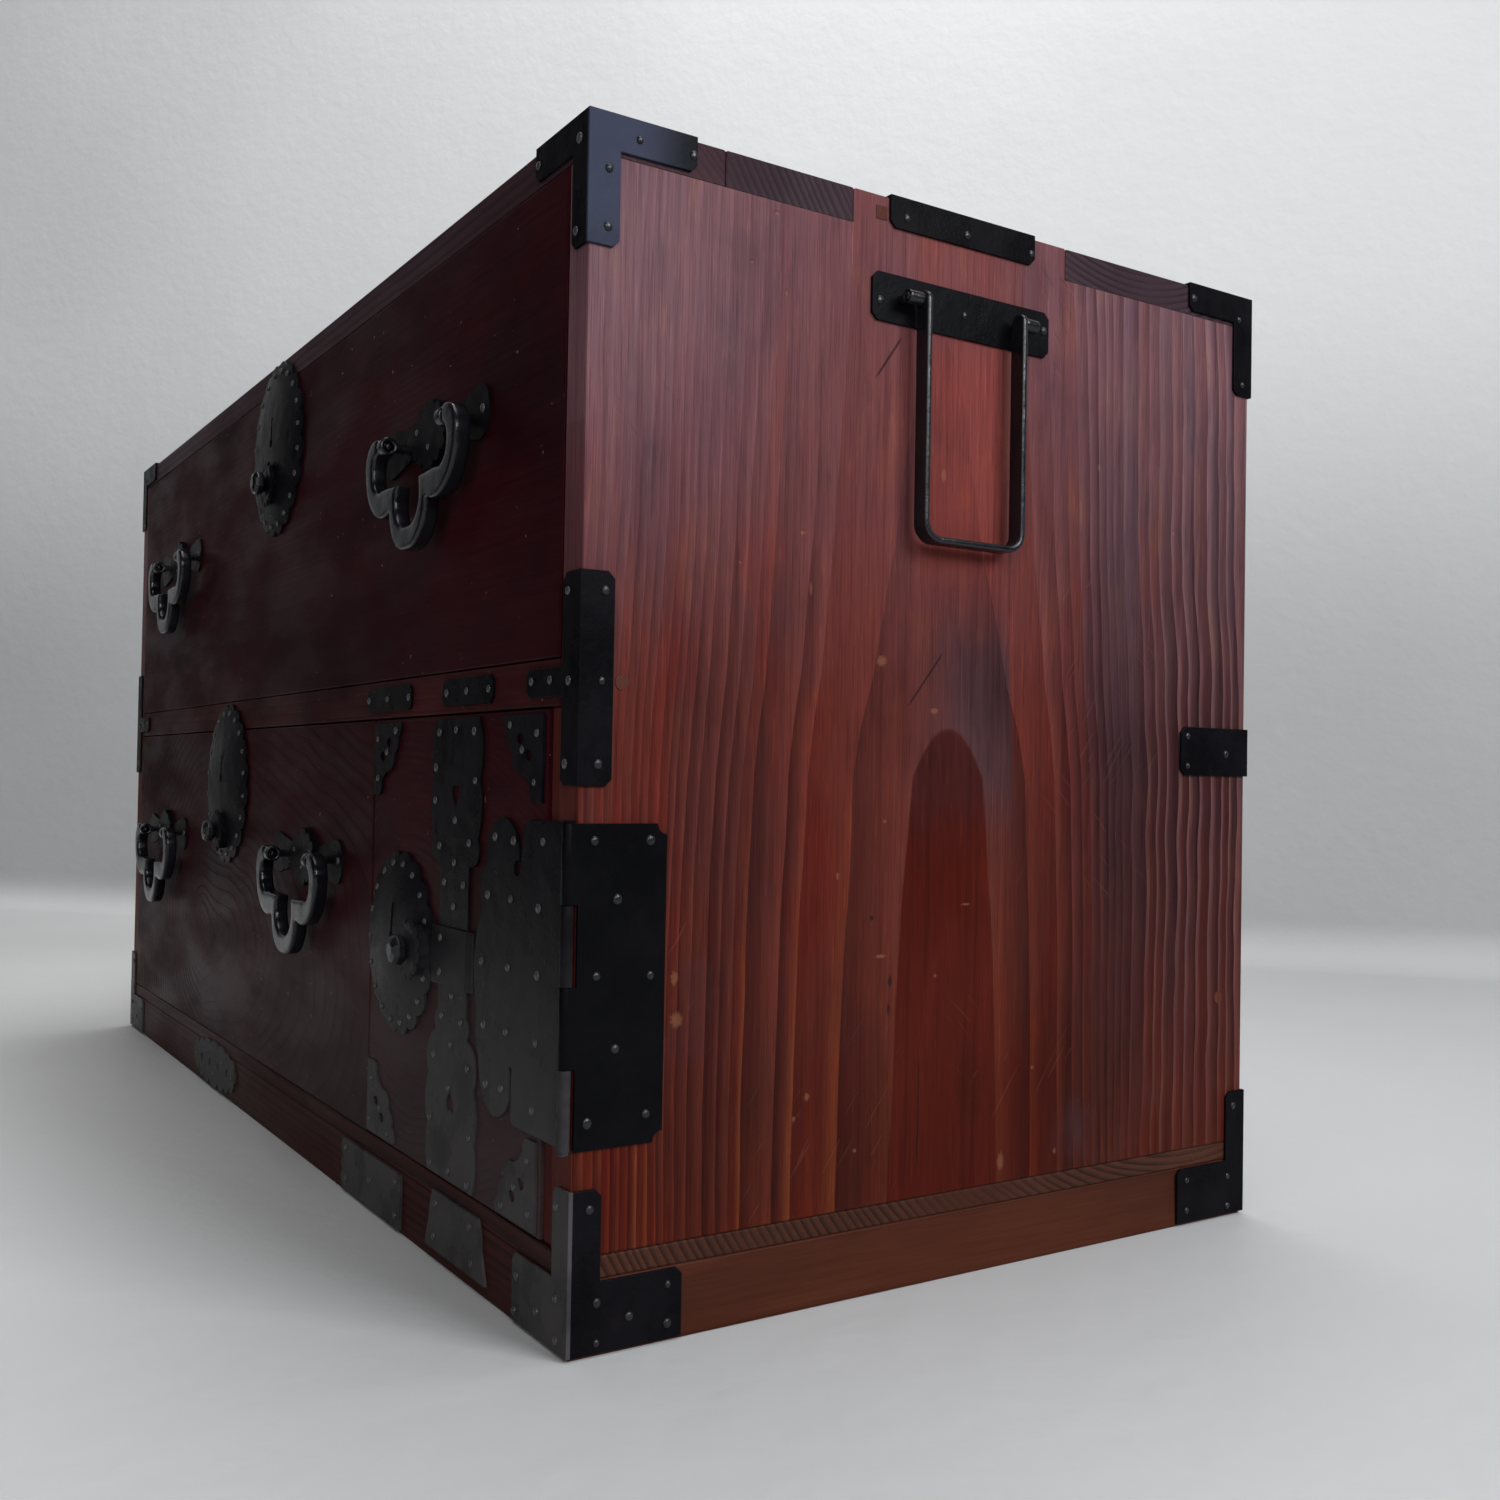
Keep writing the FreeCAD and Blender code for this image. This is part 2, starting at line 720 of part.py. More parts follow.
def lock_plate(radius, petals, knob_u, knob_v):
    # A thin domed plate with a scalloped rim, a collar for the knob and a keyhole.
    bend = (radius * radius + plate_dome * plate_dome) / (2 * plate_dome)
    middle = Vector(0, bend - plate_dome, 0)
    outer = Part.makeSphere(bend + iron_thickness, middle)
    inner = Part.makeSphere(bend, middle)
    collar_height = plate_dome + 2 * iron_thickness
    plate = petal_disc(radius, petals, collar_height).common(outer).cut(inner)
    collar = moved(petal_disc(collar_radius, collar_petals, collar_height), knob_u, 0, knob_v)
    plate = plate.fuse(collar.cut(inner)).removeSplitter()
    hub = rod(spindle_radius + spindle_clearance, (knob_u, overrun, knob_v),
              (knob_u, -collar_height - overrun, knob_v))
    return plate.cut(keyhole(-collar_height - overrun, overrun)).cut(hub)


def eight_sided(radius, y):
    corners = []
    for number in range(knob_sides + 1):
        angle = 2 * math.pi * (number + 0.5) / knob_sides
        corners.append(Vector(radius * math.cos(angle), y, radius * math.sin(angle)))
    return Part.makePolygon(corners)


def knob():
    # Faceted head, spindle through the wood, and a crank for the bolt. The axis is the Y axis and
    # the wood's face is in the XZ plane.
    seat = -(plate_dome + 2 * iron_thickness + knob_gap)
    sections = []
    for radius_share, length_share in knob_section_shares:
        sections.append(eight_sided(radius_share * knob_radius, seat - length_share * knob_length))
    head = Part.makeLoft(sections, True, True)
    crank_near = front_thickness + crank_side_gap
    crank_far = crank_near + crank_thickness
    spindle = rod(spindle_radius, (0, seat, 0), (0, crank_far, 0))
    tip = rod(crank_tip_radius, (crank_radius, crank_near, 0), (crank_radius, crank_far, 0))
    neck = span((0, crank_near, -crank_neck_width / 2), (crank_radius, crank_far, crank_neck_width / 2))
    crank = tip.fuse(neck)
    crank.rotate(Vector(0, 0, 0), Vector(0, 1, 0), crank_half_turn)
    return head.fuse([spindle, crank]).removeSplitter()


def bolt(reach):
    # Lies against the back of the wood, beside the spindle. The crank's tip works in its notch.
    near = front_thickness + bolt_gap
    bar = span((bolt_offset, near, -bolt_tail), (bolt_offset + bolt_width, near + bolt_thickness, reach))
    level = -crank_radius * math.sin(math.radians(crank_half_turn))
    half = crank_tip_radius + bolt_notch_clearance
    notch = span((bolt_offset - overrun, near - overrun, level - half),
                 (bolt_offset + bolt_notch_depth, near + bolt_thickness + overrun, level + half))
    return bar.cut(notch)


def lock_case(reach):
    # A thin box on the back of the wood, open towards it, with a way out for the bolt at its end.
    left = -crank_radius - lock_case_wall
    right = bolt_offset + bolt_width + lock_case_margin
    near = front_thickness
    far = front_thickness + lock_case_depth
    wall = lock_case_wall
    box = span((left, near, -lock_case_tail), (right, far, reach))
    room = span((left + wall, near, wall - lock_case_tail), (right - wall, far - wall, reach - wall))
    way_out = span((bolt_offset - bolt_gap, near, reach - wall - overrun),
                   (bolt_offset + bolt_width + bolt_gap, near + bolt_thickness + 2 * bolt_gap,
                    reach + overrun))
    return box.cut(room).cut(way_out)


def turned_left(shape):
    # The door's lock lies on its side: what points up points to the left.
    copy = shape.copy()
    copy.rotate(Vector(0, 0, 0), Vector(0, 1, 0), -90)
    return copy


def spindle_hole(x, z):
    radius = spindle_radius + spindle_clearance
    return rod(radius, (x, face_y - overrun, z), (x, face_back_y + overrun, z))


# Pulls and handles

def strap_eye(bore, wall, width, neck, standoff, depth):
    # A strip bent round the pin of a bail, its two ends together in the wood.
    outer = bore + wall
    loop = rod(outer, (-width / 2, -standoff, 0), (width / 2, -standoff, 0))
    shank = span((-width / 2, -standoff, -neck / 2), (width / 2, depth, neck / 2))
    hole = rod(bore, (-width, -standoff, 0), (width, -standoff, 0))
    return loop.fuse(shank).cut(hole).removeSplitter()


def neck_hole(width, neck, depth):
    grow = eye_hole_clearance
    return span((-width / 2 - grow, -overrun - iron_thickness, -neck / 2 - grow),
                (width / 2 + grow, depth + grow, neck / 2 + grow))


def pull_eye(offset):
    bore = bail_pin_radius + eye_fit
    eye = strap_eye(bore, pull_eye_wall, pull_eye_width, pull_eye_neck, pull_standoff, pull_eye_depth)
    return moved(eye, offset, 0, 0)


def pull_eye_hole(offset):
    return moved(neck_hole(pull_eye_width, pull_eye_neck, pull_eye_depth), offset, 0, 0)


def pull_plate():
    # A bow-shaped plate with a raised scalloped crest between the eyes.
    edges = path_edges(pull_plate_shares, pull_plate_width, pull_plate_height)
    edges = mirrored_edges(mirrored_edges(edges, (0, 0, 1)), (1, 0, 0))
    plate = sheet(face_of(edges), iron_thickness)
    crest = path_edges(crest_shares, crest_width, crest_height)
    crest = mirrored_edges(mirrored_edges(crest, (0, 0, 1)), (1, 0, 0))
    plate = plate.fuse(sheet(face_of(crest), iron_thickness + crest_thickness)).removeSplitter()
    for side in (1, -1):
        plate = plate.cut(pull_eye_hole(side * pull_eye_offset))
    return plate


def trefoil_bail():
    # Three lobes of a forged bar with bevelled edges. Its ends turn in as pins for the eyes.
    outer = path_edges(trefoil_outer_shares, bail_width, bail_height)
    inner = path_edges(trefoil_inner_shares, bail_width, bail_height)
    start = outer[0].firstVertex().Point
    end = inner[0].firstVertex().Point
    edges = mirrored_edges(outer + inner + [Part.makeLine(start, end)], (1, 0, 0))
    bar = moved(sheet(face_of(edges), bail_thickness), 0, bail_thickness / 2, 0)
    rims = []
    for edge in bar.Edges:
        depths = [abs(vertex.Point.y) for vertex in edge.Vertexes]
        if all(abs(depth - bail_thickness / 2) < bail_bevel / 2 for depth in depths):
            rims.append(edge)
    bar = bar.makeChamfer(bail_bevel, rims)
    shoulder = trefoil_outer_shares[0][0] * bail_width
    tip = pull_eye_offset - pull_eye_width / 2 - eye_side_gap
    pins = [rod(bail_pin_radius, (side * tip, 0, 0), (side * (shoulder + overrun), 0, 0)) for side in (1, -1)]
    return moved(bar.fuse(pins).removeSplitter(), 0, -pull_standoff, 0)


def handle_eye_places():
    # Distance of each eye's middle from the middle of the handle.
    return handle_width / 2 + eye_side_gap + handle_eye_width / 2


def handle_eye(side):
    bore = handle_pin_radius + eye_fit
    eye = strap_eye(bore, handle_eye_wall, handle_eye_width, handle_eye_neck, handle_standoff,
                    handle_eye_depth)
    return moved(eye, side * handle_eye_places(), 0, 0)


def seat_handle(shape):
    # Moves a piece from the front plane to its place on the right side.
    return moved(on_right_side(shape), half_width, front_y + handle_from_front, handle_level)


def handle_eye_neck_hole(side):
    hole = neck_hole(handle_eye_width, handle_eye_neck, handle_eye_depth)
    return seat_handle(moved(hole, side * handle_eye_places(), 0, 0))


def handle_plate():
    plate = clipped_plate(handle_plate_width, handle_plate_height, iron_thickness, iron_clip)
    plate = seat_handle(plate)
    for side in (1, -1):
        plate = plate.cut(handle_eye_neck_hole(side))
    return plate


def handle_eyes():
    return [seat_handle(handle_eye(side)) for side in (1, -1)]


def u_face(half, drop, radius, top):
    # A U open at the top, with round lower corners.
    edges = []
    cut = radius * (1 - math.sqrt(0.5))
    for side in (1, -1):
        edges.append(Part.makeLine(Vector(side * half, 0, top), Vector(side * half, 0, radius - drop)))
        start = Vector(side * half, 0, radius - drop)
        middle = Vector(side * (half - cut), 0, cut - drop)
        edges.append(Part.Arc(start, middle, Vector(side * (half - radius), 0, -drop)).toShape())
    edges.append(Part.makeLine(Vector(half - radius, 0, -drop), Vector(radius - half, 0, -drop)))
    edges.append(Part.makeLine(Vector(half, 0, top), Vector(-half, 0, top)))
    return face_of(edges)


def side_handle():
    # A flat bar on edge, bent to a U, with a round pin turned out at the top of each leg.
    half = handle_width / 2
    bar = handle_bar_thickness
    top = handle_bar_depth / 2
    outer = u_face(half, handle_drop, handle_bend_radius, top)
    inner = u_face(half - bar, handle_drop - bar, handle_bend_radius - bar, top + overrun)
    loop = moved(sheet(outer.cut(inner), handle_bar_depth), 0, handle_bar_depth / 2, 0)
    round_top = rod(handle_bar_depth / 2, (-handle_width, 0, 0), (handle_width, 0, 0))
    below = span((-handle_width, -handle_bar_depth, -handle_width - handle_drop),
                 (handle_width, handle_bar_depth, 0))
    loop = loop.common(round_top.fuse(below)).removeSplitter()
    pins = []
    for side in (1, -1):
        end = side * (half + eye_side_gap * 2 + handle_eye_width)
        pins.append(rod(handle_pin_radius, (side * (half - bar / 2), 0, 0), (end, 0, 0)))
    loop = loop.fuse(pins).removeSplitter()
    return seat_handle(moved(loop, 0, -handle_standoff, 0))


# Drawers

class Drawer:
    # The places that a drawer's pieces share.
    def __init__(self, left, right, overlap, bottom, top, level_share, spread_share, plate_level, knob_drop):
        self.left = left
        self.right = right
        self.bottom = bottom
        self.top = top
        self.level = bottom + level_share * (top - bottom)
        self.spread = spread_share * (right - left)
        self.plate_level = plate_level
        self.knob_drop = knob_drop
        self.middle = (left + right) / 2
        self.box_right = right - overlap
        self.box_front = face_y + drawer_lap
        self.box_rear = back_front_y - drawer_rear_gap
        self.floor = bottom + drawer_bottom_thickness
        self.side_top = top - drawer_side_drop
        self.knob_level = plate_level - knob_drop

    def front(self):
        board = span((self.left, face_y, self.bottom), (self.right, face_back_y, self.top))
        board = softened(board, face_y, edge_round)
        far = face_back_y + overrun
        board = board.cut(span((self.left - overrun, self.box_front, self.bottom - overrun),
                               (self.box_right, far, self.floor)))
        left_inner = self.left + drawer_side_thickness
        board = board.cut(span((self.left - overrun, self.box_front, self.bottom),
                               (left_inner, far, self.side_top)))
        right_inner = self.box_right - drawer_side_thickness
        board = board.cut(span((right_inner, self.box_front, self.bottom),
                               (self.box_right, far, self.side_top)))
        for side in (1, -1):
            x = self.middle + side * self.spread
            for eye in (1, -1):
                board = board.cut(moved(pull_eye_hole(eye * pull_eye_offset), x, face_y, self.level))
        board = board.cut(wood_keyhole(self.middle, self.plate_level))
        return board.cut(spindle_hole(self.middle, self.knob_level))

    def sides(self):
        left_side = span((self.left, self.box_front, self.floor),
                         (self.left + drawer_side_thickness, self.box_rear, self.side_top))
        right_side = span((self.box_right - drawer_side_thickness, self.box_front, self.floor),
                          (self.box_right, self.box_rear, self.side_top))
        back = span((self.left + drawer_side_thickness, self.box_rear - drawer_back_thickness, self.floor),
                    (self.box_right - drawer_side_thickness, self.box_rear, self.top - drawer_back_drop))
        return Part.makeCompound([left_side, right_side, back])

    def base(self):
        return span((self.left, self.box_front, self.bottom), (self.box_right, self.box_rear, self.floor))

    def pull_pieces(self, maker):
        pieces = []
        for side in (1, -1):
            pieces.append(moved(maker, self.middle + side * self.spread, face_y, self.level))
        return pieces

    def pull_plates(self):
        return Part.makeCompound(self.pull_pieces(pull_plate()))

    def pull_eyes(self):
        eyes = []
        for side in (1, -1):
            eyes += self.pull_pieces(pull_eye(side * pull_eye_offset))
        return Part.makeCompound(eyes)

    def plate(self):
        plate = lock_plate(drawer_plate_radius, drawer_plate_petals, 0, -self.knob_drop)
        return moved(plate, self.middle, face_y, self.plate_level)

    def lock_piece(self, shape):
        return moved(shape, self.middle, face_y, self.knob_level)

    def reach(self):
        return self.top - self.knob_level


def export_drawer(name, drawer, shapes):
    shapes[name + "_front"] = drawer.front()
    shapes[name + "_sides_and_back"] = drawer.sides()
    shapes[name + "_bottom"] = drawer.base()
    shapes[name + "_pull_plates"] = drawer.pull_plates()
    shapes[name + "_pull_eyes"] = drawer.pull_eyes()
    right_pull, left_pull = drawer.pull_pieces(trefoil_bail())
    shapes[name + "_pull_right"] = right_pull
    shapes[name + "_pull_left"] = left_pull
    shapes[name + "_lock_plate"] = drawer.plate()
    shapes[name + "_knob"] = drawer.lock_piece(knob())
    shapes[name + "_bolt"] = drawer.lock_piece(bolt(drawer.reach() - bolt_recess))
    shapes[name + "_lock_case"] = drawer.lock_piece(lock_case(drawer.reach() - bolt_recess))


# Locker door

def door_panel():
    panel = span((door_left, face_y, door_bottom), (door_right, face_back_y, door_top))
    panel = softened(panel, face_y, edge_round)
    panel = panel.cut(wood_keyhole(door_plate_x, door_lock_level))
    return panel.cut(spindle_hole(door_knob_x, door_lock_level))


def teardrop(width, height):
    edges = mirrored_edges(path_edges(drop_shares, width, height), (1, 0, 0))
    return moved(face_of(edges).extrude(Vector(0, -door_strap_thickness - 2 * overrun, 0)), 0, overrun, 0)


def door_centre_strap():
    low = door_bottom + door_strap_margin
    height = door_top - door_strap_margin - low
    edges = path_edges(door_strap_shares, door_strap_width, height)
    strap = sheet(face_of(mirrored_edges(edges, (1, 0, 0))), door_strap_thickness)
    drop = teardrop(strap_drop_width, strap_drop_height)
    quarter = (strap_drop_height + door_strap_width) / 2
    strap = strap.cut(moved(drop, 0, 0, height - quarter))
    strap = strap.cut(moved(flipped(drop, (0, 0, 1)), 0, 0, quarter))
    return moved(strap, half_width - door_strap_from_right, face_y, low)


def door_corner_iron():
    # The lower left corner of the door.
    plate = sheet(closed_face(door_corner_shares, door_corner_width, door_corner_height), iron_thickness)
    for u_share, v_share in door_corner_hole_shares:
        hole = Part.Ellipse(Vector(0, 0, 0), door_corner_hole_height / 2, door_corner_hole_width / 2)
        hole = Part.Face(Part.Wire(hole.toShape()))
        hole.rotate(Vector(0, 0, 0), Vector(1, 0, 0), 90)
        hole = hole.extrude(Vector(0, -iron_thickness - 2 * overrun, 0))
        plate = plate.cut(moved(hole, u_share * door_corner_width, overrun, v_share * door_corner_height))
    return plate


def door_corner_irons():
    low_left = door_corner_iron()
    low_right = flipped(low_left, (1, 0, 0))
    left = door_left + door_corner_margin
    right = door_right - door_corner_margin
    low = door_bottom + door_corner_margin
    high = door_top - door_corner_margin
    return Part.makeCompound([
        moved(low_left, left, face_y, low), moved(low_right, right, face_y, low),
        moved(flipped(low_left, (0, 0, 1)), left, face_y, high),
        moved(flipped(low_right, (0, 0, 1)), right, face_y, high),
    ])


def door_lock_arm():
    # A band from the round plate to the hinge leaf, raised over the narrow part of the centre strap.
    narrow = door_strap_shares[6][0] * door_strap_width + lock_arm_side_gap
    strap_x = half_width - door_strap_from_right
    left = door_plate_x + door_plate_radius + lock_arm_side_gap
    right = hinge_x - hinge_door_reach - lock_arm_side_gap
    bend = strap_x + narrow
    up = door_strap_thickness
    t = iron_thickness
    corners = [(left, -up), (bend, -up), (bend + lock_arm_slope, 0), (right, 0), (right, -t),
               (bend + lock_arm_slope, -t), (bend, -up - t), (left, -up - t)]
    points = [Vector(x, y, 0) for x, y in corners]
    face = Part.Face(Part.makePolygon(points + points[:1]))
    arm = face.extrude(Vector(0, 0, lock_arm_height))
    return moved(arm, 0, face_y, door_lock_level - lock_arm_height / 2)


def door_lock_plate():
    plate = lock_plate(door_plate_radius, door_plate_petals, knob_offset_door, 0)
    return moved(plate, door_plate_x, face_y, door_lock_level)


def door_lock_piece(shape):
    return moved(turned_left(shape), door_knob_x, face_y, door_lock_level)


def door_lock_reach():
    return door_knob_x - divider_right - door_lock_case_gap


def build():
    shapes = {
        "top_front_plank": top_front_plank(),
        "top_main_plank": top_main_plank(),
        "right_side_board": side_board(),
        "left_side_board": across(side_board()),
        "back_boards": back_boards(),
        "bottom_board": bottom_board(),
        "base_rails": base_rails(),
        "middle_rail": middle_rail(),
        "dust_board": dust_board(),
        "locker_divider": locker_divider(),
        "door_jamb": door_jamb(),
        "top_corner_iron_right": top_corner_iron(),
        "top_corner_iron_left": across(top_corner_iron()),
        "bottom_corner_iron_right": bottom_corner_iron(),
        "bottom_corner_iron_left": across(bottom_corner_iron()),
        "middle_corner_strap_right": middle_corner_strap(),
        "middle_corner_strap_left": across(middle_corner_strap()),
        "rear_irons": rear_irons(),
        "top_edge_straps": Part.makeCompound([top_edge_strap(), across(top_edge_strap())]),
        "middle_rail_plates": middle_rail_plates(),
        "base_rail_plates": base_rail_plates(),
        "hinge_case_leaf": hinge_case_leaf(),
        "hinge_pin": hinge_pin(),
        "handle_plates": Part.makeCompound([handle_plate(), across(handle_plate())]),
        "handle_eyes": Part.makeCompound(handle_eyes() + [across(eye) for eye in handle_eyes()]),
        "right_handle": side_handle(),
        "left_handle": across(side_handle()),
        "door_panel": door_panel(),
        "hinge_door_leaf": hinge_door_leaf(),
        "door_centre_strap": door_centre_strap(),
        "door_corner_irons": door_corner_irons(),
        "door_lock_arm": door_lock_arm(),
        "door_lock_plate": door_lock_plate(),
        "door_knob": door_lock_piece(knob()),
        "door_bolt": door_lock_piece(bolt(door_lock_reach())),
        "door_lock_case": door_lock_piece(lock_case(door_lock_reach())),
    }
    top_drawer = Drawer(-inner_x + front_gap, inner_x - front_gap, 0, top_drawer_bottom_z,
                        top_drawer_top, pull_level_top_share, pull_spread_top_share, top_plate_level,
                        knob_drop_top)
    lap = lower_drawer_right - divider_left + front_gap
    lower_drawer = Drawer(lower_drawer_left, lower_drawer_right, lap, lower_drawer_bottom_z,
                          lower_drawer_top, pull_level_lower_share, pull_spread_lower_share,
                          lower_plate_level, knob_drop_lower)
    export_drawer("top_drawer", top_drawer, shapes)
    export_drawer("lower_drawer", lower_drawer, shapes)
    return shapes


os.makedirs("parts", exist_ok=True)
for name, shape in build().items():
    shape.exportStep(os.path.join("parts", name + ".step"))
    print(name, "solids", len(shape.Solids), "valid", shape.isValid(), "volume", round(shape.Volume))
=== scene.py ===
import math
import random

import bmesh
import bpy
from mathutils import Matrix, Vector


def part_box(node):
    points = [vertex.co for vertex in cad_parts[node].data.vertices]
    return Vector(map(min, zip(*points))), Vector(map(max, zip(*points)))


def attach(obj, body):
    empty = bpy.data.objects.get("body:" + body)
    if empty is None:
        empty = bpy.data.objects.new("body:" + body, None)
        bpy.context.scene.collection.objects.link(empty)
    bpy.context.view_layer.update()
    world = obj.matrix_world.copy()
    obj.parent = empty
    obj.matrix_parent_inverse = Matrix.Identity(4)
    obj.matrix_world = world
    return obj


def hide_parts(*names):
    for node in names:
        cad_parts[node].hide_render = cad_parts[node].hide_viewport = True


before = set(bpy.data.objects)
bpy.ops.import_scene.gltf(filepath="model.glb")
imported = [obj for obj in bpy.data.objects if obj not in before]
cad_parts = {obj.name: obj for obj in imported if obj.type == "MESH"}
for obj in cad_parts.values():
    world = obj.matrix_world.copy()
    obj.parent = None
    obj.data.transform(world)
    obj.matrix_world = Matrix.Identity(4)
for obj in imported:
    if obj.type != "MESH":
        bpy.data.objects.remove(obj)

print("frame loaded")
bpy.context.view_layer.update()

# where the case stands, in metres
mm = 0.001
topLow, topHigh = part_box("top_front_plank")
frontY = topLow[1]
rightX = topHigh[0]
caseHeight = topHigh[2]
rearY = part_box("top_main_plank")[1][1]
middleY = (frontY + rearY) / 2
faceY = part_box("door_panel")[0][1]  # face of the drawer fronts and the door


# small helpers for materials
def newMaterial(name, roughness, gloss, metallic=0.0):
    material = bpy.data.materials.new(name)
    material.use_nodes = True
    shader = material.node_tree.nodes["Principled BSDF"]
    shader.inputs["Roughness"].default_value = roughness
    shader.inputs["Metallic"].default_value = metallic
    shader.inputs["Specular IOR Level"].default_value = gloss
    return material, shader


class Wires:
    # a short way to write shader nodes: every call returns the socket to carry on from
    def __init__(self, material):
        self.tree = material.node_tree

    def put(self, socket, value):
        if isinstance(value, bpy.types.NodeSocket):
            self.tree.links.new(value, socket)
        else:
            socket.default_value = value

    def node(self, kind, settings=None, **values):
        made = self.tree.nodes.new(kind)
        for key, value in (settings or {}).items():
            setattr(made, key, value)
        for key, value in values.items():
            self.put(made.inputs[key], value)
        return made

    def maths(self, operation, *values):
        made = self.node("ShaderNodeMath", {"operation": operation})
        for index, value in enumerate(values):
            self.put(made.inputs[index], value)
        return made.outputs[0]

    def chain(self, operation, values):
        total = values[0]
        for value in values[1:]:
            total = self.maths(operation, total, value)
        return total

    def plus(self, *values):
        return self.chain("ADD", values)

    def times(self, *values):
        return self.chain("MULTIPLY", values)

    def most(self, *values):
        return self.chain("MAXIMUM", values)

    def minus(self, a, b):
        return self.maths("SUBTRACT", a, b)

    def place(self):
        return self.node("ShaderNodeTexCoord").outputs["Object"]

    def parts(self, vector):
        made = self.node("ShaderNodeSeparateXYZ", Vector=vector)
        return made.outputs[0], made.outputs[1], made.outputs[2]

    def join(self, x, y, z):
        return self.node("ShaderNodeCombineXYZ", X=x, Y=y, Z=z).outputs[0]

    def stretch(self, vector, x, y, z):
        return self.node("ShaderNodeMapping", Vector=vector, Scale=(x, y, z)).outputs[0]

    def noise(self, vector, scale, detail=3.0, rough=0.55):
        made = self.node("ShaderNodeTexNoise", Vector=vector, Scale=scale, Detail=detail, Roughness=rough)
        return made.outputs["Fac"]

    def grain(self, vector, fineness, detail=3.0, rough=0.55):
        # noise drawn out into streaks: its fineness along x, y and z
        return self.noise(self.stretch(vector, *fineness), 1.0, detail, rough)

    def cells(self, vector, scale, feature="F1"):
        made = self.node("ShaderNodeTexVoronoi", {"feature": feature}, Vector=vector, Scale=scale)
        return made.outputs["Distance"]

    def lot(self, value):
        # the same random number for every point of a ring
        return self.node("ShaderNodeTexWhiteNoise", {"noise_dimensions": "1D"}, W=value).outputs["Value"]

    def ramp(self, factor, stops):
        made = self.node("ShaderNodeValToRGB", Fac=factor)
        made.color_ramp.interpolation = "LINEAR"
        elements = made.color_ramp.elements
        while len(elements) < len(stops):
            elements.new(0.5)
        for element, (position, colour) in zip(elements, stops):
            element.position = position
            element.color = colour + (1.0,)
        return made.outputs["Color"]

    def range(self, value, low, high, outLow=0.0, outHigh=1.0, smooth=True):
        kind = "SMOOTHSTEP" if smooth else "LINEAR"
        made = self.node("ShaderNodeMapRange", {"interpolation_type": kind}, Value=value)
        for key, number in (("From Min", low), ("From Max", high), ("To Min", outLow), ("To Max", outHigh)):
            made.inputs[key].default_value = number
        return made.outputs["Result"]

    def fall(self, value, low, high):
        return self.range(value, low, high, 1.0, 0.0)

    def mix(self, factor, a, b, kind="MIX"):
        made = self.node("ShaderNodeMix", {"data_type": "RGBA", "blend_type": kind})
        for index, value in ((0, factor), (6, a), (7, b)):
            self.put(made.inputs[index], value + (1.0,) if isinstance(value, tuple) else value)
        return made.outputs[2]

    def tint(self, tone, factor, colour):
        # multiplies the tone by a colour, as far as the factor says
        return self.mix(factor, tone, self.mix(1.0, tone, colour, "MULTIPLY"))

    def bump(self, height, distance, under=None):
        made = self.node("ShaderNodeBump", Height=height, Distance=distance)
        if under is not None:
            self.put(made.inputs["Normal"], under)
        return made.outputs["Normal"]


def finish(w, shader, tone, rough, reliefs):
    # colour and roughness on the shader, then the reliefs, each a pattern and its height
    w.put(shader.inputs["Base Color"], tone)
    w.put(shader.inputs["Roughness"], rough)
    normal = None
    for pattern, height in reliefs:
        normal = w.bump(pattern, height, normal)
    w.put(shader.inputs["Normal"], normal)


def unevenRoughness(w, pattern, roughness):
    return w.range(pattern, 0.3, 0.7, roughness - 0.08, roughness + 0.12)


def grey(value):
    return (value, value, value)


def paint(nodeNames, material):
    for nodeName in nodeNames:
        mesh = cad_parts[nodeName].data
        mesh.materials.clear()
        mesh.materials.append(material)


# the boards
def ringCount(w, first, second, spacing, unevenBy):
    # distance from the pith, counted in rings that are never even
    radius = w.maths("SQRT", w.plus(w.times(first, first), w.times(second, second)))
    uneven = w.noise(w.join(radius, radius, radius), 30.0, 2.0)
    return w.plus(w.maths("DIVIDE", radius, spacing), w.times(uneven, unevenBy))


def trunkRings(w, place, along, look):
    # rings of a board sawn from a trunk whose pith wanders beside it
    across = [part for axis, part in zip("xyz", w.parts(place)) if axis != along]
    lengthwise, crosswise = look["wander"]
    slow = w.grain(place, [lengthwise if axis == along else crosswise for axis in "xyz"], 2.0, 0.5)
    first = w.plus(w.minus(across[0], look["pith"][0]), w.times(w.minus(slow, 0.5), look["sway"]))
    second = w.minus(across[1], look["pith"][1])
    return ringCount(w, first, second, look["spacing"], 2.0)


def ringProfile(w, count):
    # pale early wood rising slowly to a dark late line with a crisp far edge
    phase = w.maths("FRACT", count)
    return w.times(w.range(phase, 0.25, 0.82), w.fall(phase, 0.94, 1.0))


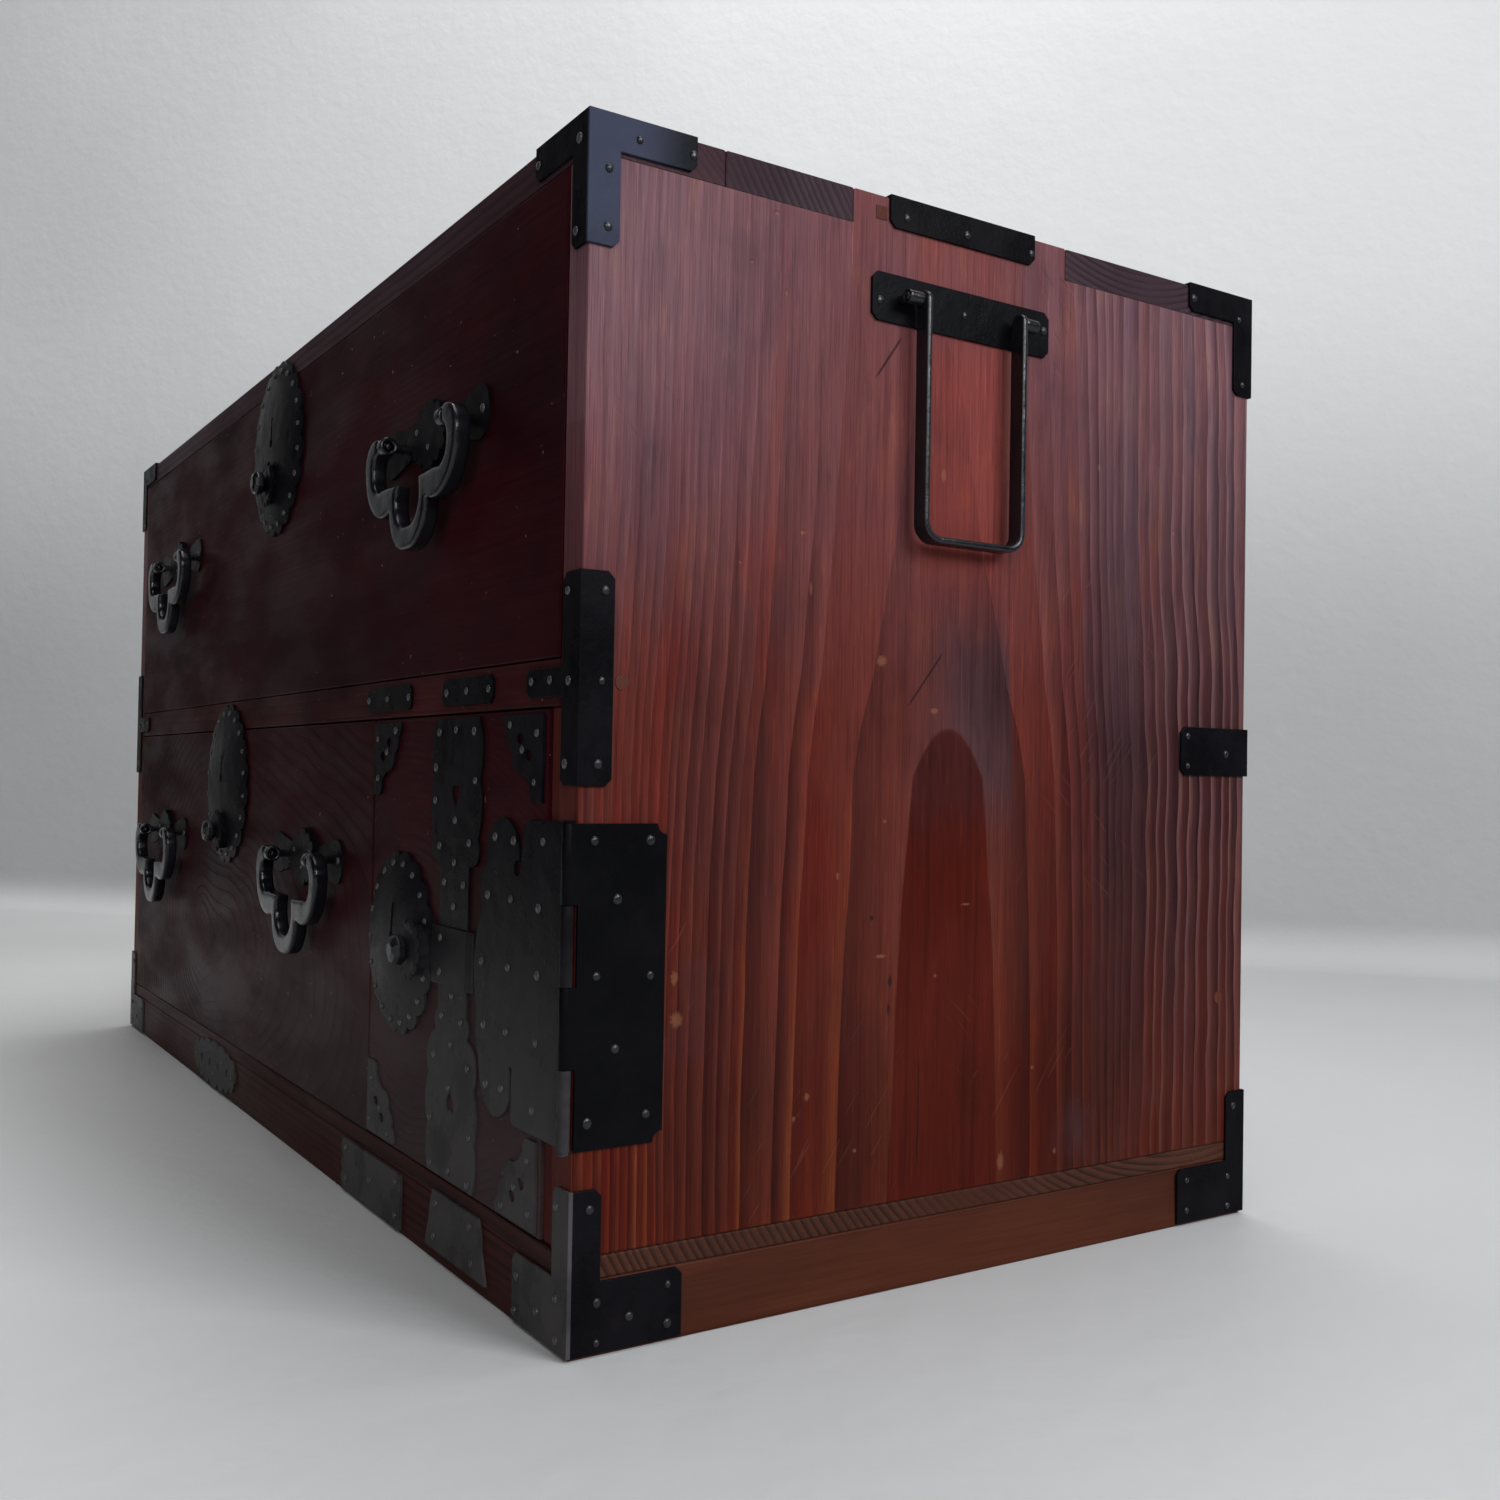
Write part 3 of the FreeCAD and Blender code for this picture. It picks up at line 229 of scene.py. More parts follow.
caseSide = {
    # how deep the pith lies behind the face at each level, both in mm
    "depths": ((30, 50), (170, 53.4), (237, 56.1), (260, 60), (282, 65), (345, 72.5), (500, 80)),
    "middle": 195.5 * mm, "heartRadius": 60 * mm, "rearSqueeze": 1.32,
    # how wide the rings are from each distance outside the heart, both in mm
    "ringSteps": ((0.0, 19.75), (39.5, 11.5), (62.5, 6.5), (98.0, 3.9)),
    # ground tones from the floor up, in front and at the rear; the paler, greyer top is partly the wood's own
    # colour and partly a painted sheen
    "front": ((0.0, (0.072, 0.0098, 0.0044)), (0.50, (0.091, 0.0168, 0.0118)), (1.0, (0.134, 0.043, 0.045))),
    "rear": ((0.0, (0.066, 0.0095, 0.0045)), (0.52, (0.045, 0.0140, 0.0138)), (1.0, (0.150, 0.065, 0.070))),
    "heart": (0.050, 0.0045, 0.0022), "heartTop": (0.038, 0.0062, 0.0058), "heartClouds": (1.25, 1.9, 1.8),
    # the last colour on the next line is a painted sheen, the window's reflection at the upper front
    "bloom": (0.040, 0.0215, 0.026), "bright": (0.180, 0.034, 0.026), "sheen": (0.152, 0.084, 0.102),
    "orange": (0.150, 0.040, 0.011), "pale": (0.190, 0.095, 0.098), "crack": (0.012, 0.006, 0.007),
    "chip": (0.26, 0.100, 0.052), "stain": (0.042, 0.022, 0.027), "scuff": (0.26, 0.12, 0.085),
    "brown": (0.88, 1.22, 1.40), "foot": (0.70, 0.62, 0.62),
    "ringStart": (1.38, 1.50, 1.52), "ringEnd": (0.36, 0.26, 0.30), "roughness": 0.42, "gloss": 0.052,
    # layers of the grain: fineness through the board, across it and upwards, then detail and roughness
    "layers": {"clouds": ((1, 11, 4.5), 4.0, 0.6), "reds": ((1, 16, 5), 3.0, 0.6),
               "streaks": ((240, 240, 4.5), 3.0, 0.6), "mottle": ((42, 46, 17), 5.0, 0.68),
               "fibres": ((1500, 1500, 26), 2.0, 0.6), "pores": ((700, 700, 34), 3.0, 0.7)},
    # what a layer does: where in it the tint starts and is full, how strong it is, and its colour
    "broadTints": (("clouds", 0.46, 0.66, 0.70, (0.66, 0.80, 0.95)),
                   ("reds", 0.54, 0.72, 0.60, (1.20, 0.62, 0.52))),
    "fineTints": (("streaks", 0.50, 0.68, 0.55, (0.62, 0.55, 0.58)),
                  ("streaks", 0.46, 0.30, 0.50, (1.35, 1.40, 1.25)),
                  ("mottle", 0.52, 0.70, 0.75, (0.74, 0.82, 0.84)),
                  ("mottle", 0.47, 0.32, 0.70, (1.22, 1.22, 0.92)),
                  ("fibres", 0.45, 0.72, 0.60, (0.50, 0.44, 0.48)),
                  ("pores", 0.54, 0.72, 0.70, (1.55, 1.48, 1.30))),
    # small marks, each by its distance from the front edge, its level, its width and its height in mm
    "chips": ((115.7, 94.3, 2.0, 2.6), (108.6, 85.2, 1.4, 1.8), (142.7, 67.1, 1.4, 1.6),
              (232.1, 51.0, 3.0, 6.0), (268.3, 51.7, 1.6, 2.0), (156.1, 154.6, 4.4, 1.4),
              (207.3, 176.8, 3.6, 0.9), (130.8, 192.0, 1.2, 2.6), (46.5, 151.1, 2.4, 4.2),
              (47.9, 133.4, 4.4, 4.6), (252.3, 94.7, 1.6, 1.4), (189.0, 143.6, 1.3, 1.3),
              (157.3, 216.6, 1.5, 1.2), (91.9, 484.7, 2.0, 1.6), (79.3, 460.5, 1.6, 1.4),
              (97.6, 450.4, 1.4, 2.2), (294.0, 398.6, 1.4, 2.6), (350.3, 370.4, 1.5, 1.8),
              (154.2, 290.7, 4.2, 3.4), (185.9, 268.9, 3.4, 2.2), (75.8, 328.8, 1.2, 1.2),
              (108.5, 345.3, 2.2, 1.6), (150.1, 498.4, 1.4, 1.4), (189.8, 381.4, 2.6, 5.0)),
    "knocks": ((161.7, 142.3, 1.9, 3.6), (161.0, 129.7, 1.2, 3.6), (150.5, 172.0, 1.6, 1.6)),
    "cuts": ((190.6, 295.9, 169.0, 268.6), (163.1, 442.1, 147.2, 419.4)),
    # the drying crack: distance from the front edge, where it fades in below and out above
    "dryingCrack": (179.5 * mm, 52 * mm, 62 * mm, 98 * mm, 110 * mm),
}


def raggedSpots(w, t, z, jag, places):
    # ragged little ellipses at given places
    found = []
    for spotT, spotZ, wide, tall in places:
        away = w.node("ShaderNodeVectorMath", {"operation": "LENGTH"})
        acrossIt = w.maths("DIVIDE", w.minus(t, spotT * mm), wide * mm)
        upIt = w.maths("DIVIDE", w.minus(z, spotZ * mm), tall * mm)
        w.put(away.inputs[0], w.join(acrossIt, upIt, 0.0))
        found.append(w.fall(w.plus(away.outputs["Value"], jag), 0.35, 0.90))
    return w.most(*found)


def cutLines(w, t, z, places):
    # thin straight cuts, each from one place to another
    found = []
    for fromT, fromZ, toT, toZ in places:
        length = math.hypot(toT - fromT, toZ - fromZ)
        alongT, alongZ = (toT - fromT) / length, (toZ - fromZ) / length
        moveT = w.minus(t, fromT * mm)
        moveZ = w.minus(z, fromZ * mm)
        along = w.plus(w.times(moveT, alongT), w.times(moveZ, alongZ))
        aside = w.maths("ABSOLUTE", w.minus(w.times(moveT, alongZ), w.times(moveZ, alongT)))
        ends = w.times(w.range(along, -1 * mm, 3 * mm), w.fall(along, (length - 6) * mm, length * mm))
        found.append(w.times(w.fall(aside, 0.15 * mm, 0.8 * mm), ends))
    return w.most(*found)


def scratches(w, place):
    # faint slanting strokes: thin bands of a turned, drawn-out noise, let through in a few places only
    found = []
    for turn, size, seed in ((0.62, 30, 0.4), (-0.80, 26, 3.1)):
        turned = w.node("ShaderNodeMapping", Vector=place, Rotation=(turn, 0.0, 0.0),
                        Location=(seed, seed * 1.7, seed * 0.6)).outputs[0]
        thin = w.range(w.grain(turned, (2, size * 17, size * 1.3), 0.0), 0.735, 0.755)
        where = w.range(w.grain(turned, (4, 11, 11), 1.0), 0.62, 0.68)
        found.append(w.times(thin, where))
    return w.most(*found)


def wobble(w, place, across, up, size):
    # a slow bend across the face of a side board
    return w.times(w.minus(w.grain(place, (1, across, up), 2.0), 0.5), size)


def sideRings(w, place, t, z, ripple):
    # upright lines at both edges and one tall pointed arch in the middle
    look = caseSide
    wave = w.times(wobble(w, place, 6, 9, 18 * mm), w.range(t, 0.27, 0.36))  # quick, near the rear edge
    across = w.minus(w.plus(t, wobble(w, place, 6, 3.2, 12 * mm), ripple, wave), look["middle"])
    depth = look["depths"][0][1] * mm
    for (lowLevel, lowDepth), (highLevel, highDepth) in zip(look["depths"], look["depths"][1:]):
        deeper = (highDepth - lowDepth) * mm
        depth = w.plus(depth, w.range(z, lowLevel * mm, highLevel * mm, 0.0, deeper, smooth=False))
    radius = w.maths("SQRT", w.plus(w.times(across, across), w.times(depth, depth)))
    fromHeart = w.minus(radius, look["heartRadius"])
    # wide rings near the heart, narrow ones further out, closer together towards the rear
    spread = w.times(fromHeart, w.range(across, -0.03, 0.03, 1.0, look["rearSqueeze"]))
    uneven = w.times(w.minus(w.noise(w.join(radius, 0.0, 0.0), 52.0, 2.0), 0.5), 1.7)
    count = w.times(w.range(spread, 0.02, 0.06), uneven)
    rate = 0.0
    for start, width in look["ringSteps"]:
        beyond = w.most(w.minus(spread, start * mm), 0.0) if start else spread
        more = w.times(beyond, (1 / width - rate) / mm)
        if start == look["ringSteps"][-1][0]:
            # the last step makes the lines finer at the front edge and wider at the rear one
            more = w.times(more, w.range(across, -0.03, 0.03, 1.0, -0.60))
        count = w.plus(count, more)
        rate = 1 / width
    return count, fromHeart


def caseSideWood(side):
    # a broad board cut close to the heart; the left one mirrors the right one
    # t is the distance from the front edge and z the level, both in metres
    look = caseSide
    name = "caseSideWood" + ("Right" if side > 0 else "Left")
    material, shader = newMaterial(name, look["roughness"], look["gloss"])
    w = Wires(material)
    plain = w.place()
    place = w.stretch(plain, side, 1, 1)
    x, y, z = w.parts(plain)
    t = w.minus(y, frontY)
    ripple = wobble(w, place, 20, 9, 3.0 * mm)
    count, fromHeart = sideRings(w, place, t, z, ripple)
    layers = {}
    for layer, (fineness, detail, rough) in look["layers"].items():
        layers[layer] = w.grain(place, fineness, detail, rough)

    def tinted(tone, tints):
        for layer, start, full, share, colour in tints:
            tone = w.tint(tone, w.range(layers[layer], start, full, 0.0, share), colour)
        return tone

    # each ring starts light and crisp on the heart's side and darkens outwards
    phase = w.maths("FRACT", count)
    ring = w.maths("FLOOR", count)
    lot = w.lot(ring)
    lotTwo = w.lot(w.plus(ring, 40.5))
    outside = w.range(fromHeart, -0.3 * mm, 0.3 * mm)
    dark = w.times(w.range(phase, 0.22, 0.96), w.fall(phase, 0.985, 1.0), outside)
    light = w.times(w.fall(phase, 0.0, 0.42), outside)
    # strong low down and at the right, weaker or stronger from ring to ring
    low = w.range(z, 0.22, 0.43, 1.0, 0.26)
    right = w.range(t, 0.235, 0.30, 0.0, 0.95)
    faint = w.range(w.grain(place, (1, 24, 7), 2.0), 0.34, 0.56, 0.45, 1.0)
    strength = w.times(w.most(low, right), w.maths("MULTIPLY_ADD", lot, 0.65, 0.35), faint)

    # ground tones, paler and greyer upwards partly as a painted sheen, redder or browner from ring to ring,
    # darker at the foot of the arch
    height = w.plus(z, wobble(w, place, 5, 3, 0.16))
    level = w.range(height, 0.06, 0.47, smooth=False)
    toRear = w.range(w.plus(t, wobble(w, place, 9, 5, 0.05)), 0.235, 0.325)
    tone = w.mix(toRear, w.ramp(level, look["front"]), w.ramp(level, look["rear"]))
    brown = w.times(w.range(lot, 0.44, 0.56), w.range(z, 0.10, 0.30, 0.70, 0.45))
    tone = w.tint(tone, brown, look["brown"])
    tone = tinted(tone, look["broadTints"])
    foot = w.fall(w.maths("ABSOLUTE", w.minus(t, 0.215)), 0.03, 0.09)
    tone = w.tint(tone, w.times(foot, w.range(z, 0.08, 0.15, 0.8, 0.0)), look["foot"])
    # a grey bloom above the arch, bright red wood over it, and a painted sheen at the upper front: the
    # window's reflection in the varnish
    slant = w.maths("MULTIPLY_ADD", z, -0.07, 0.254)
    above = w.times(w.fall(w.minus(t, slant), -0.002, 0.0015), w.range(t, 0.165, 0.215))
    above = w.times(above, w.range(z, 0.195, 0.245), w.fall(z, 0.285, 0.335), outside, 0.75)
    tone = w.mix(above, tone, look["bloom"])
    bright = w.times(w.fall(w.maths("ABSOLUTE", w.minus(t, 0.200)), 0.018, 0.034), w.range(z, 0.305, 0.365))
    tone = w.mix(w.times(bright, w.range(z, 0.425, 0.465, 0.75, 0.25)), tone, look["bright"])
    tone = w.mix(w.times(w.range(t, 0.13, 0.0), w.range(z, 0.26, 0.47), 0.75), tone, look["sheen"])

    # the rings themselves, then the heart inside the arch
    tone = w.tint(tone, w.times(light, strength, 0.75), look["ringStart"])
    warm = w.times(w.range(lotTwo, 0.58, 0.70), w.range(z, 0.10, 0.25, 1.0, 0.1))
    warm = w.times(light, warm, w.range(t, 0.11, 0.16, 1.0, 0.25), 0.45)
    tone = w.mix(warm, tone, look["orange"])
    tone = w.tint(tone, w.times(dark, strength, 0.78), look["ringEnd"])
    ridge = w.times(w.range(t, 0.315, 0.352), w.range(z, 0.02, 0.24, 0.35, 1.0))
    tone = w.mix(w.times(light, ridge, 0.38), tone, look["pale"])
    heartTop = w.range(w.plus(z, wobble(w, place, 30, 7, 0.06)), 0.190, 0.235)
    heart = w.mix(heartTop, look["heart"], look["heartTop"])
    heart = w.tint(heart, w.range(layers["clouds"], 0.42, 0.7, 0.0, 0.6), look["heartClouds"])
    tone = w.mix(w.times(w.minus(1.0, outside), w.range(height, 0.05, 0.22, 0.45, 1.0)), tone, heart)
    tone = tinted(tone, look["fineTints"])

    # rubbed and chipped places, stains, faint scratches and one short drying crack
    jag = w.times(w.minus(w.noise(plain, 900.0, 2.0), 0.5), 0.9)
    sparse = w.range(w.grain(place, (1, 13, 10), 2.0), 0.66, 0.72)
    dent = w.times(w.fall(w.cells(w.stretch(place, 90, 95, 30), 1.0), 0.05, 0.14), sparse)
    crackT, crackLow, crackIn, crackOut, crackHigh = look["dryingCrack"]
    crackLine = w.maths("ABSOLUTE", w.minus(w.plus(t, w.times(ripple, 0.5)), crackT))
    crack = w.times(w.range(z, crackLow, crackIn), w.fall(z, crackOut, crackHigh))
    crack = w.times(w.fall(crackLine, 0.15 * mm, 0.6 * mm), crack)
    if side > 0:
        dent = w.most(dent, raggedSpots(w, t, z, jag, look["chips"]))
        knocks = raggedSpots(w, t, z, jag, look["knocks"])
        crack = w.most(crack, knocks, cutLines(w, t, z, look["cuts"]))
    scuff = scratches(w, plain)
    tone = w.mix(w.times(dent, 0.34), tone, look["chip"])
    stain = w.range(w.grain(place, (1, 9, 7), 5.0, 0.62), 0.62, 0.76)
    tone = w.mix(w.times(stain, 0.50), tone, look["stain"])
    tone = w.mix(w.times(scuff, 0.07), tone, look["scuff"])
    tone = w.mix(w.times(crack, 0.8), tone, look["crack"])
    rough = unevenRoughness(w, w.grain(plain, (30, 30, 9), 4.0), look["roughness"])
    finish(w, shader, tone, w.plus(rough, w.times(layers["fibres"], 0.06)), (
        (w.times(w.minus(1.0, dark), strength), 0.45 * mm),
        (layers["fibres"], 0.09 * mm),
        (w.times(w.plus(dent, crack, scuff), -1.0), 0.35 * mm),
        (w.grain(plain, (4, 24, 5)), 1.6 * mm)))
    return material


frontWood = {
    # what all the lacquered fronts share
    "tone": (0.033, 0.0046, 0.0074), "deep": (0.015, 0.0022, 0.0040), "bloom": (0.066, 0.047, 0.050),
    "specks": (0.30, 0.24, 0.20), "roughness": 0.36, "gloss": 0.014, "hazy": 0.03, "floorSheenShare": 0.0,
    "line": 0.38, "oval": None, "wander": (2.2, 9.0),
}
fronts = {
    "topDrawerWood": {"node": "top_drawer_front", "pith": (faceY + 0.02, 0.30), "spacing": 4.2 * mm,
                      "sway": 30 * mm, "relief": 0.03 * mm, "line": 0.16},
    "lowerDrawerWood": {"node": "lower_drawer_front", "spacing": 7.5 * mm, "sway": 34 * mm,
                        "relief": 0.20 * mm, "floorSheenShare": 0.22, "line": 0.60,
                        "oval": {"x": -0.182, "z": 0.112, "long": 2.7, "tight": 1.1}},
    "doorWood": {"node": "door_panel", "spacing": 4.4 * mm, "sway": 26 * mm, "relief": 0.16 * mm,
                 "floorSheenShare": 0.34, "oval": {"x": 0.262, "z": 0.150, "long": 1.9, "tight": 1.2}},
    "railWood": {"node": "middle_rail", "pith": (faceY + 0.03, 0.24), "spacing": 4.0 * mm,
                 "sway": 8 * mm, "relief": 0.2 * mm, "tone": (0.058, 0.0120, 0.0120)},
}


def lacquerWood(name, own):
    # dark lacquer sunk into open grain that runs from left to right
    look = dict(frontWood, **own)
    material, shader = newMaterial(name, look["roughness"], look["gloss"])
    w = Wires(material)
    place = w.place()
    x, y, z = w.parts(place)
    oval = look["oval"]
    if oval:
        # a knot's long ovals and the lines that sweep round it, none of them even
        slow = w.grain(place, (6.0, 1.0, 8.0), 2.5)
        other = w.grain(w.join(z, y, x), (7.0, 1.0, 5.0), 2.5)
        across = w.plus(w.minus(x, oval["x"]), w.times(w.minus(other, 0.5), look["sway"] * 3.0))
        across = w.maths("DIVIDE", across, w.range(across, 0.0, 0.10, oval["tight"], oval["long"]))
        up = w.plus(w.minus(z, oval["z"]), w.times(w.minus(slow, 0.5), look["sway"]))
        count = ringCount(w, across, up, look["spacing"], 1.6)
    else:
        count = trunkRings(w, place, "x", look)
    line = w.times(ringProfile(w, count), w.range(w.grain(place, (4.5, 4.5, 13), 2.0), 0.36, 0.62, 0.15, 1.0))
    fibre = w.grain(place, (16, 600, 600), 3.0, 0.7)
    patches = w.grain(place, (5, 5, 11), 4.0, 0.6)
    tone = w.mix(w.range(patches, 0.35, 0.68), look["tone"], look["deep"])
    tone = w.tint(tone, w.range(fibre, 0.35, 0.7, 0.0, 0.5), (0.5, 0.45, 0.45))
    tone = w.mix(w.times(line, look["line"]), tone, look["deep"])
    # a faint grey bloom in patches, stronger low down, where it is a painted reflection of the pale floor,
    # and a few pale specks
    sheen = w.range(w.grain(place, (3.5, 3.5, 5), 3.0, 0.6), 0.35, 0.75)
    floorSheen = w.times(w.fall(z, 0.06, 0.215), w.maths("MULTIPLY_ADD", sheen, 0.30, look["floorSheenShare"]))
    tone = w.mix(w.most(w.times(sheen, look["hazy"]), floorSheen), tone, look["bloom"])
    specks = w.range(w.noise(place, 240.0, 2.0), 0.745, 0.77)
    tone = w.mix(w.times(specks, 0.6), tone, look["specks"])
    rough = unevenRoughness(w, w.grain(place, (10, 30, 30), 4.0), look["roughness"])
    finish(w, shader, tone, rough, (
        (line, look["relief"]), (fibre, 0.06 * mm), (w.grain(place, (5, 20, 20)), 0.8 * mm)))
    return material


plainWood = {
    # what the sawn boards share; "shortRails" is the width of rails that run from front to back
    "along": "x", "sway": 14 * mm, "wander": (2.5, 8.0), "relief": 0.25 * mm, "depth": 0.7,
    "lacquered": None, "shortRails": None, "roughness": 0.52, "gloss": 0.08,
}
boards = {
    "topWood": {"nodes": ["top_main_plank"], "pith": (middleY + 0.11, caseHeight + 0.12),
                "spacing": 3.6 * mm, "tone": (0.044, 0.0235, 0.030), "lines": (0.012, 0.008, 0.011),
                "depth": 0.8},
    "topFrontWood": {"nodes": ["top_front_plank"], "pith": (frontY + 0.22, caseHeight + 0.15),
                     "spacing": 3.3 * mm, "tone": (0.050, 0.022, 0.028), "lines": (0.016, 0.009, 0.012),
                     "depth": 0.8},
    "bottomWood": {"nodes": ["bottom_board"], "pith": (middleY + 0.16, 0.22), "spacing": 3.8 * mm,
                   "tone": (0.062, 0.0215, 0.0120), "lines": (0.018, 0.0075, 0.0055), "depth": 0.85,
                   "relief": 0.45 * mm, "lacquered": (0.036, 0.0085, 0.0080)},
    "baseWood": {"nodes": ["base_rails"], "pith": (frontY - 0.02, -0.05), "spacing": 5.0 * mm,
                 "tone": (0.068, 0.0180, 0.0082), "lines": (0.024, 0.0080, 0.0052), "depth": 0.6,
                 "shortRails": 24.01 * mm, "lacquered": (0.040, 0.0085, 0.0075)},
    "innerWood": {"nodes": ["dust_board", "locker_divider", "top_drawer_sides_and_back", "top_drawer_bottom",
                            "lower_drawer_sides_and_back", "lower_drawer_bottom"],
                  "pith": (middleY, 0.15), "spacing": 5.0 * mm, "tone": (0.44, 0.29, 0.17),
                  "lines": (0.27, 0.15, 0.08), "relief": 0.12 * mm},
    "backWood": {"nodes": ["back_boards"], "pith": (rearY + 0.02, 0.33), "spacing": 9.0 * mm,
                 "tone": (0.082, 0.029, 0.022), "lines": (0.034, 0.014, 0.012), "depth": 0.6,
                 "relief": 0.12 * mm, "sway": 60 * mm},
    "jambWood": {"nodes": ["door_jamb"], "along": "z", "pith": (rightX - 0.02, frontY - 0.03),
                 "spacing": 3.5 * mm, "tone": (0.088, 0.0165, 0.0125), "lines": (0.036, 0.008, 0.007)},
}


def boardWood(name, own):
    # sawn board: rings on its ends, lines along its length
    look = dict(plainWood, **own)
    material, shader = newMaterial(name, look["roughness"], look["gloss"])
    w = Wires(material)
    place = w.place()
    x, y, z = w.parts(place)
    if look["shortRails"]:
        # swaps x and y on the rails that run from front to back
        atEnd = w.maths("GREATER_THAN", w.maths("ABSOLUTE", x), rightX - look["shortRails"])
        fromMiddle = w.maths("ABSOLUTE", w.minus(y, middleY))
        short = w.times(atEnd, w.maths("LESS_THAN", fromMiddle, (rearY - frontY) / 2 - look["shortRails"]))
        long = w.minus(1.0, short)
        lengthwise = w.plus(w.times(x, long), w.times(y, short))
        crosswise = w.plus(w.times(y, long), w.times(x, short))
        place = w.join(lengthwise, crosswise, z)

    def fineness(lengthwise, across):
        return [lengthwise if axis == look["along"] else across for axis in "xyz"]

    line = ringProfile(w, trunkRings(w, place, look["along"], look))
    line = w.times(line, w.range(w.grain(place, fineness(1.6, 15), 2.0), 0.36, 0.62, 0.22, 1.0))
    fibre = w.grain(place, fineness(22, 700), 3.0, 0.7)
    patches = w.grain(place, fineness(4, 12), 4.0, 0.6)
    tone = w.tint(look["tone"], w.range(patches, 0.34, 0.68, 0.0, 0.8), (0.68, 0.60, 0.62))
    tone = w.tint(tone, w.range(fibre, 0.32, 0.7, 0.0, 0.5), (0.6, 0.55, 0.55))
    tone = w.mix(w.times(line, look["depth"]), tone, look["lines"])
    if look["lacquered"]:
        frontFace = w.maths("LESS_THAN", y, frontY + 1.5 * mm)
        lacquer = w.mix(1.0, w.mix(line, grey(1.0), grey(0.55)), look["lacquered"], "MULTIPLY")
        tone = w.mix(w.times(frontFace, 0.9), tone, lacquer)
    rough = unevenRoughness(w, patches, look["roughness"])
    finish(w, shader, tone, rough, ((line, look["relief"]), (fibre, 0.10 * mm)))
    return material


paint(["right_side_board"], caseSideWood(1))
paint(["left_side_board"], caseSideWood(-1))
for name, own in boards.items():
    paint(own["nodes"], boardWood(name, own))
for name, own in fronts.items():
    paint([own["node"]], lacquerWood(name, own))
print("wood done")


# the iron fittings
ironLook = {
    "sheet": {"tone": (0.0030, 0.0028, 0.0038), "pale": (0.0100, 0.0090, 0.0112),
              "rust": (0.024, 0.012, 0.009), "metallic": 0.0, "gloss": 0.020,
              # the last two colours are painted reflections, of the floor low on the front and of the window
              # on the upper side corners
              "floorReflection": (0.078, 0.072, 0.073), "windowSheen": (0.050, 0.058, 0.098)},
    "dark": {"tone": (0.0026, 0.0026, 0.0034), "pale": (0.0066, 0.0064, 0.0080),
             "rust": (0.016, 0.009, 0.006), "metallic": 0.20, "gloss": 0.035},
    "bar": {"tone": (0.0050, 0.0050, 0.0066), "pale": (0.0150, 0.0150, 0.0185),
            "rust": (0.026, 0.014, 0.010), "metallic": 0.10, "gloss": 0.38},
}


def blackIron(name, kind="sheet", worn=0.35, rust=0.15, roughness=0.30, grain=900.0, frontSheenTone=None):
    # forged, blackened iron: fine grain, soft hammer marks, a little rust in places
    look = ironLook[kind]
    material, shader = newMaterial(name, roughness, look["gloss"], look["metallic"])
    w = Wires(material)
    place = w.place()
    x, y, z = w.parts(place)
    fine = w.noise(place, grain, 4.0, 0.65)
    pits = w.cells(place, grain * 0.45)
    hammer = w.cells(place, 95.0, "SMOOTH_F1")
    patches = w.noise(place, 26.0, 5.0, 0.62)
    tone = w.mix(w.times(w.range(patches, 0.38, 0.68), worn), look["tone"], look["pale"])
    tone = w.mix(w.range(fine, 0.52, 0.72, 0.0, 0.35), tone, look["pale"])
    rusty = w.range(w.noise(place, 60.0, 6.0, 0.7), 0.60, 0.74)
    tone = w.mix(w.times(rusty, rust), tone, look["rust"])
    if kind == "sheet":
        # painted reflections: paler low on the front, for the pale floor mirrored there, and bluish on the
        # sides of the two upper corners, for the window mirrored there
        floorReflection = w.times(w.maths("LESS_THAN", y, frontY + 0.5 * mm), w.range(z, 0.03, 0.20, 0.78, 0.0))
        tone = w.mix(w.times(floorReflection, w.range(patches, 0.30, 0.60, 0.5, 1.0)), tone, look["floorReflection"])
        sideFace = w.maths("GREATER_THAN", w.maths("ABSOLUTE", x), rightX + 0.2 * mm)
        corner = w.times(sideFace, w.range(z, 0.42, 0.47), w.range(y, frontY + 0.05, frontY + 0.02), 0.6)
        tone = w.mix(corner, tone, look["windowSheen"])
    # faces towards the front are painted paler: a painted sheen
    if frontSheenTone:
        frontFace = w.maths("LESS_THAN", y, frontY - 0.3 * mm)
        tone = w.mix(w.times(frontFace, w.range(patches, 0.25, 0.75, 0.55, 1.0)), tone, frontSheenTone)
    rough = w.range(patches, 0.30, 0.72, roughness - 0.07, roughness + 0.12)
    finish(w, shader, tone, w.plus(rough, w.times(rusty, 0.22)), (
        (hammer, 0.30 * mm), (pits, 0.05 * mm), (fine, 0.09 * mm)))
    return material


strapIron = blackIron("strapIron")
wornIron = blackIron("wornIron", worn=0.75, rust=0.20, roughness=0.28)
darkIron = blackIron("darkIron", "dark", worn=0.30, rust=0.10, roughness=0.34)
barIron = blackIron("barIron", "bar", worn=0.45, rust=0.12, roughness=0.17, grain=600.0)
# the heads on the front are painted paler, a painted sheen
nailIron = blackIron("nailIron", "bar", worn=0.60, rust=0.10, roughness=0.24, grain=1200.0,
                     frontSheenTone=(0.060, 0.058, 0.061))
